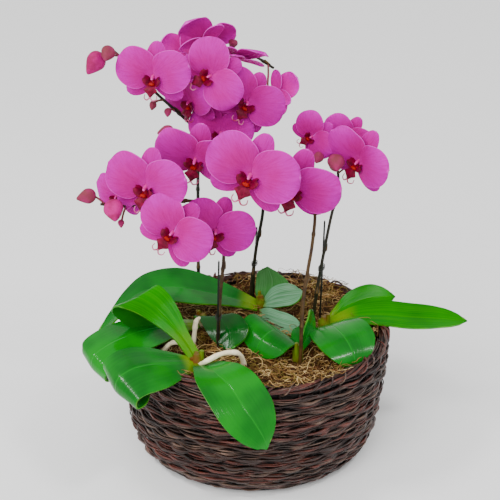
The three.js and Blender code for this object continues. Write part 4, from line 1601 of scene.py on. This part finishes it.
        def surface(across: Array, along: Array) -> Array:
            half = 5.4 * np.clip(1 - np.abs(2 * along**0.78 - 1) ** 2.4, 0.1, None) ** 0.45
            cup = 2.6 * across**2 * (0.4 + along) - 2.4 * along**2 + 0.9 * np.sin(3.4 * along + 0.6)
            points = claw + rise * (12.6 * along)[:, None] + width * (half * across)[:, None]
            points = points + inwards * (cup - 1.6)[:, None]
            return self.seat(points * self.lip_k)

        piece = sheet(f"lip_side_{self.name}", 10, 12, surface)
        dress(piece, Finish.LIP_SIDE)
        thicken(piece, 0.9 * self.lip_k)
        return piece

    def callus(self) -> Piece:
        """The two-knobbed callus at the foot of the lip."""

        def shape(points: Array) -> Array:
            knobs = 1 + 0.35 * np.abs(points[:, :1])
            local = points * knobs * np.array([2.7, 2.0, 2.2]) + np.array([0, -8.0, 8.2])
            return self.seat(local * self.lip_k)

        piece = ball(f"callus_{self.name}", 14, 10, shape)
        dress(piece, Finish.CALLUS)
        return piece

    def tendrils(self) -> Piece:
        """The two thin tendrils that curl back from the lip's tip."""
        share = np.linspace(0, 1, 16)
        curls = []
        for side in (-1, 1):
            path = SmoothPath(
                [(0, -22.5, 12), (side * 3.4, -26, 12), (side * 7.4, -24.6, 9.6), (side * 7.2, -20.5, 8.6)]
            )
            curls.append(Strand(self.seat(path.at(share) * self.lip_k), (0.95 - 0.5 * share) * self.lip_k))
        piece = swept(f"tendrils_{self.name}", curls, 1)
        dress(piece, Finish.TENDRIL)
        return piece

    def lip_parts(self) -> list[Piece]:
        """The whole lip, in its separate parts."""
        lobes = [self.middle_lobe(), self.side_lobe(-1), self.side_lobe(1)]
        return [*lobes, self.callus(), self.tendrils()]

    def build(self, seed: int) -> None:
        """Builds the bloom and its lip in place of their plain solids."""
        tepals = [
            self.tepal("sepal_dorsal", 90, False, 0, seed),
            self.tepal("sepal_left", 270 - self.LATERAL_SPREAD, False, 0, seed + 1),
            self.tepal("sepal_right", 270 + self.LATERAL_SPREAD, False, 0, seed + 2),
            self.tepal("petal_left", 180 - self.PETAL_TILT, True, 0, seed + 3),
            self.tepal("petal_right", self.PETAL_TILT, True, self.PETAL_LAYER, seed + 4),
        ]
        flower, lip = [*tepals, self.column()], self.lip_parts()
        if self.lip:
            settle(f"petals_{self.name}", flower, [f"bloom_{self.name}"])
            settle(f"lip_lobes_{self.name}", lip, [f"lip_{self.name}"])
        else:
            settle(f"petals_{self.name}", flower + lip, [f"bloom_{self.name}"])


BLOOMS: tuple[Bloom, ...] = (
    Bloom("high_1", "left_high", (-113, 0, 441), -14, 6, -3, 76, True),
    Bloom("high_2", "left_high", (-53, 2, 441), -10, 12, -64, 73, True),
    Bloom("high_3", "left_high", (-15, 16, 407), 14, 10, -36, 75, True),
    Bloom("high_4", "left_high", (-75, 20, 407), -40, -2, 8, 66, True),
    Bloom("top_1", "back_high", (-60, 66, 463), 200, 35, 22, 64, False),
    Bloom("top_2", "back_high", (-80, 62, 448), -150, -10, 0, 60, False),
    Bloom("top_3", "back_high", (-22, 62, 444), 165, 62, 0, 60, False),
    Bloom("top_4", "back_high", (19, 64, 404), 145, -20, 112, 50, False),
    Bloom("top_5", "back_high", (-43, 16, 372), -4, 16, -8, 66, False),
    Bloom("low_1", "left_low", (-120, -50, 335), -20, 8, -5, 86, True),
    Bloom("low_2", "left_low", (-92, -76, 293), -12, 16, -36, 79, True),
    Bloom("low_3", "left_low", (-49, -30, 276), 10, 6, -24, 78, False),
    Bloom("low_4", "left_low", (-154, -12, 309), -46, 4, 10, 62, False),
    Bloom("middle_1", "centre", (-69, -14, 354), -14, -12, -12, 84, True),
    Bloom("middle_2", "centre", (-10, -50, 348), -12, 10, -20, 96, True),
    Bloom("middle_3", "centre", (37, -22, 324), -12, -8, -18, 93, True),
    Bloom("right_1", "right", (58, 34, 362), -15, 10, -56, 52, True),
    Bloom("right_2", "right", (110, 12, 341), -36, 4, -22, 78, True, 0.16),
    Bloom("right_3", "right", (98, 52, 354), -15, 0, -30, 56, False),
)


# Stems, buds and stakes


@dataclass
class Spike:
    """A flower stem with its bracts, a pedicel to each bloom and its buds."""

    name: str
    path: Sequence[Triple]
    buds: Sequence[tuple[float, float, float, float]]
    finish: Finish = Finish.STEM_DARK
    radius: float = 2.2

    FIRST_NODE = 66
    NODE_STEP = 52
    OPENING_BUD = 15

    def stem(self, path: SmoothPath) -> list[Strand]:
        """The stem, swollen at its nodes, with a small bract at each."""
        share = np.linspace(0, 1, 200)
        along = share * path.length
        radii = self.radius * (1.0 - 0.32 * share)
        strands = []
        for node in np.arange(self.FIRST_NODE, path.length, self.NODE_STEP):
            radii = radii + 0.7 * np.exp(-(((along - node) / 2.0) ** 2))
            run = np.linspace(0, 1, 9)
            place = (node + 9 * run) / path.length
            tangent = path.tangent(place)
            side = unit(np.cross(tangent, np.array([math.cos(node), math.sin(node), 0.2])))
            points = path.at(place) + side * (self.radius * 0.75 + 0.7 * run[:, None])
            strands.append(Strand(points, 1.6 * (1 - run**1.5) + 0.12, 1))
        strands.append(Strand(path.at(share), radii, 0))
        return strands

    def pedicel(self, path: SmoothPath, end: Array, approach: Array) -> Strand:
        """A stalk from the stem to a bloom or bud."""
        start = path.at(path.nearest(approach) - 0.02)
        reach = float(np.linalg.norm(start - approach))
        middle = (start + approach) / 2 + np.array([0, 0, reach * 0.1])
        points = [start, middle, approach, end] if reach > 6 else [start, end]
        run = np.linspace(0, 1, 24)
        return Strand(SmoothPath(points).at(run), 1.15 + 0.35 * run**3, 2)

    def bud(self, path: SmoothPath, place: tuple[float, float, float, float]) -> Piece:
        """A closed bud: three sepals that meet in grooves and come to a blunt point.

        Args:
            path: the stem's path.
            place: the bud's middle and its size.

        Returns:
            The bud.
        """
        centre, size = np.array(place[:3], float), place[3]
        away = unit(centre - path.at(path.nearest(centre)))
        tip = unit(away + np.array([0, -0.2, -0.7]))
        right = unit(np.cross(tip, np.array([0.2, 1, 0.1])))
        basis = np.stack([right, np.cross(tip, right), tip])
        spin = centre[0]

        def shape(p: Array) -> Array:
            turn = np.arctan2(p[:, 1], p[:, 0]) + spin
            groove = 1 - 0.16 * np.abs(np.cos(1.5 * turn)) ** 5 * (1 - p[:, 2] ** 2)
            belly = 0.6 * size * groove * (1.02 - 0.3 * np.maximum(p[:, 2], 0) - 0.12 * p[:, 2])
            reach = 0.72 * size * (p[:, 2] + 0.16 * np.maximum(p[:, 2], 0) ** 6)
            return rows_of(p[:, 0] * belly, p[:, 1] * belly, reach) @ basis + centre

        piece = ball(f"bud_{self.name}", 30, 18, shape)
        closed = size < self.OPENING_BUD or self.name == "right"
        dress(piece, Finish.BUD if closed else Finish.BUD_OPEN)
        return piece

    def build(self) -> None:
        """Builds the stem, pedicels and buds in place of the plain spike."""
        path = SmoothPath(self.path)
        strands = self.stem(path)
        for bloom in (b for b in BLOOMS if b.spike == self.name):
            end, approach = bloom.seat(np.array([(0, 0, -3), (0, -2, -15)], float))
            strands.append(self.pedicel(path, end, approach))
        for x, y, z, _ in self.buds:
            centre = np.array([x, y, z], float)
            strands.append(self.pedicel(path, centre, centre + np.array([0, 6, 0])))
        stem = swept(f"stem_{self.name}", strands, 3)
        dress(stem, self.finish, Finish.BRACT, Finish.PEDICEL)
        parts = [stem, *(self.bud(path, place) for place in self.buds)]
        settle(f"stem_{self.name}", parts, [f"spike_{self.name}"])


SPIKES: tuple[Spike, ...] = (
    Spike("left_high",
          ((-12, 70, 112), (-10, 70, 150), (-4, 66, 210), (4, 52, 272), (-4, 38, 318), (-28, 30, 344),
           (-66, 26, 370), (-91, 24, 394), (-112, 24, 414), (-140, 28, 444), (-158, 26, 462)),
          ((-177, 14, 452, 18), (-162, 6, 464, 13), (-116, 8, 406, 7), (-100, 12, 397, 7))),
    Spike("back_high",
          ((-73, 88, 112), (-73, 88, 150), (-73, 84, 209), (-72, 80, 257), (-71, 78, 303), (-66, 80, 360),
           (-56, 84, 410), (-38, 90, 436), (-11, 94, 438), (16, 96, 422)),
          ((-30, 84, 454, 9),)),
    Spike("left_low",
          ((-48, -38, 112), (-47, -38, 150), (-44, -34, 200), (-40, -24, 244), (-42, -8, 276),
           (-56, -2, 294), (-80, -8, 302), (-109, -18, 304), (-134, -26, 304), (-156, -34, 306),
           (-172, -38, 310)),
          ((-186, -40, 320, 14), (-156, -54, 309, 18), (-150, -44, 290, 6)), Finish.STEM_BROWN),
    Spike("centre",
          ((44, -72, 112), (45, -70, 150), (47, -64, 209), (52, -54, 240), (57, -38, 264), (60, -14, 294),
           (52, 2, 322), (32, 8, 340), (-6, 10, 348), (-46, 8, 352), (-78, 6, 362), (-92, 2, 372)),
          ((-102, 4, 378, 12),), Finish.STEM_BROWN),
    Spike("right",
          ((61, 16, 112), (63, 17, 150), (68, 18, 193), (74, 22, 230), (80, 26, 264), (86, 32, 292),
           (88, 40, 318), (78, 48, 338)),
          ((83, 4, 341, 16), (64, 14, 344, 10))),
)


@dataclass
class Stake:
    """A coated wire that a stem is clipped to."""

    name: str
    foot: Triple
    top: Triple
    stem: str
    clip_heights: Sequence[float]

    RADIUS = 1.05
    CLIP_RADIUS = 0.6

    def build(self) -> None:
        """Builds the wire, its rounded end and its clips in place of the plain bar."""
        foot, top = np.array(self.foot, float), np.array(self.top, float)
        share = np.concatenate([np.linspace(0, 0.99, 40), [0.996, 1.0]])
        radii = np.full(len(share), self.RADIUS)
        radii[-2:] = (0.8, 0.35)
        strands = [Strand(foot + (top - foot) * share[:, None], radii)]
        path = SmoothPath(next(s for s in SPIKES if s.name == self.stem).path)
        line = path.at(np.linspace(0, 1, 400))
        for height in self.clip_heights:
            on_wire = foot + (top - foot) * (height - foot[2]) / (top[2] - foot[2])
            on_stem = line[np.argmin(np.abs(line[:200, 2] - height))]
            middle, gap = (on_wire + on_stem) / 2, on_stem - on_wire
            along = unit(gap * np.array([1, 1, 0]))
            cross = np.array([-along[1], along[0], 0])
            turn = np.linspace(0, 2 * np.pi, 29)
            reach = float(np.hypot(*gap[:2])) / 2 + 3.0
            for rise in (-1.2, 1.2):
                loop = middle + reach * np.cos(turn)[:, None] * along + 3.1 * np.sin(turn)[:, None] * cross
                loop[:, 2] = height + rise + 0.4 * np.sin(turn)
                strands.append(Strand(loop, self.CLIP_RADIUS, 1))
        piece = swept(f"{self.name}_wire", strands, 3)
        dress(piece, Finish.STAKE, Finish.CLIP)
        settle(f"{self.name}_wire", [piece], [self.name])


STAKES: tuple[Stake, ...] = (
    Stake("stake_left", (-50, -46, 20), (-45, -44, 246), "left_low", (176,)),
    Stake("stake_back", (-13, 78, 20), (-3, 74, 236), "left_high", (190,)),
    Stake("stake_right", (68, 24, 20), (74, 31, 262), "right", (206,)),
)


# Studio


@dataclass
class Studio:
    """The pale floor, the soft lights and the camera."""

    camera_place: Triple = (-0.011, -1.3703, 0.8491)
    camera_tilt: float = 66
    lens: float = 96.1
    sensor: float = 36
    middle: Triple = (0, 0, 0.24)
    air: float = 0.85

    def floor(self) -> None:
        """A plain pale floor."""
        bpy.ops.object.select_all(action="DESELECT")
        bpy.ops.mesh.primitive_plane_add(size=12)
        floor = bpy.context.active_object
        floor.name = "studio_floor"
        pale, board = new_board("studio_floor")
        inputs = {"Base Color": (0.94, 0.94, 0.94, 1), "Roughness": 0.8}
        shader = board.add("ShaderNodeBsdfPrincipled", inputs)
        board.add("ShaderNodeOutputMaterial", {0: shader.outputs[0]})
        floor.data.materials.append(pale)

    def aim(self, lamp: Piece) -> None:
        """Turns a lamp to the middle of the arrangement."""
        away = np.array(self.middle) - np.array(lamp.location)
        down = math.atan2(math.hypot(away[0], away[1]), -away[2])
        lamp.rotation_euler = (down, 0, math.atan2(-away[0], away[1]))

    def lamp(self, name: str, place: Triple, power: float, size: float, tall: float = 0) -> None:
        """A light.

        Args:
            name: its name.
            place: where it stands.
            power: its energy.
            size: a strip's width in metres, or a far light's spread in degrees.
            tall: a strip's height in metres, or 0 for an even far light.
        """
        kind = "AREA" if tall else "SUN"
        bpy.ops.object.light_add(type=kind, location=place)
        lamp = bpy.context.active_object
        lamp.name = name
        lamp.data.energy = power
        if tall:
            lamp.data.shape = "RECTANGLE"
            lamp.data.size = size
            lamp.data.size_y = tall
        else:
            lamp.data.angle = math.radians(size)
            lamp.visible_glossy = False
        self.aim(lamp)

    def build(self) -> None:
        """Sets the floor, the lights, the surroundings and the camera."""
        self.floor()
        self.lamp("even_light", (-0.7, -1.8, 1.7), 2.9, 50)
        self.lamp("left_panel", (-1.1, -0.35, 1.5), 13, 0.42, 0.2)
        self.lamp("right_panel", (0.8, -0.65, 1.65), 9, 0.34, 0.18)
        world = bpy.data.worlds.new("studio_air")
        world.use_nodes = True
        background = world.node_tree.nodes["Background"]
        background.inputs[0].default_value = (1, 1, 1, 1)
        background.inputs[1].default_value = self.air
        bpy.context.scene.world = world
        bpy.ops.object.camera_add(location=self.camera_place, rotation=(math.radians(self.camera_tilt), 0, 0))
        camera = bpy.context.active_object
        camera.name = "front_camera"
        camera.data.sensor_width = self.sensor
        camera.data.lens = self.lens
        bpy.context.scene.camera = camera


def main() -> None:
    """Builds the arrangement in order."""
    logging.basicConfig(level=logging.INFO, format="%(name)s %(message)s")
    Studio().build()
    Basket().build()
    MossBed().build()
    for crown in CROWNS:
        crown.build()
    for leaf in LEAVES:
        leaf.build()
    for stake in STAKES:
        stake.build()
    for spike in SPIKES:
        spike.build()
    for i, bloom in enumerate(BLOOMS):
        bloom.build(100 + 10 * i)
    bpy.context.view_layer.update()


if __name__ == "__main__":
    main()
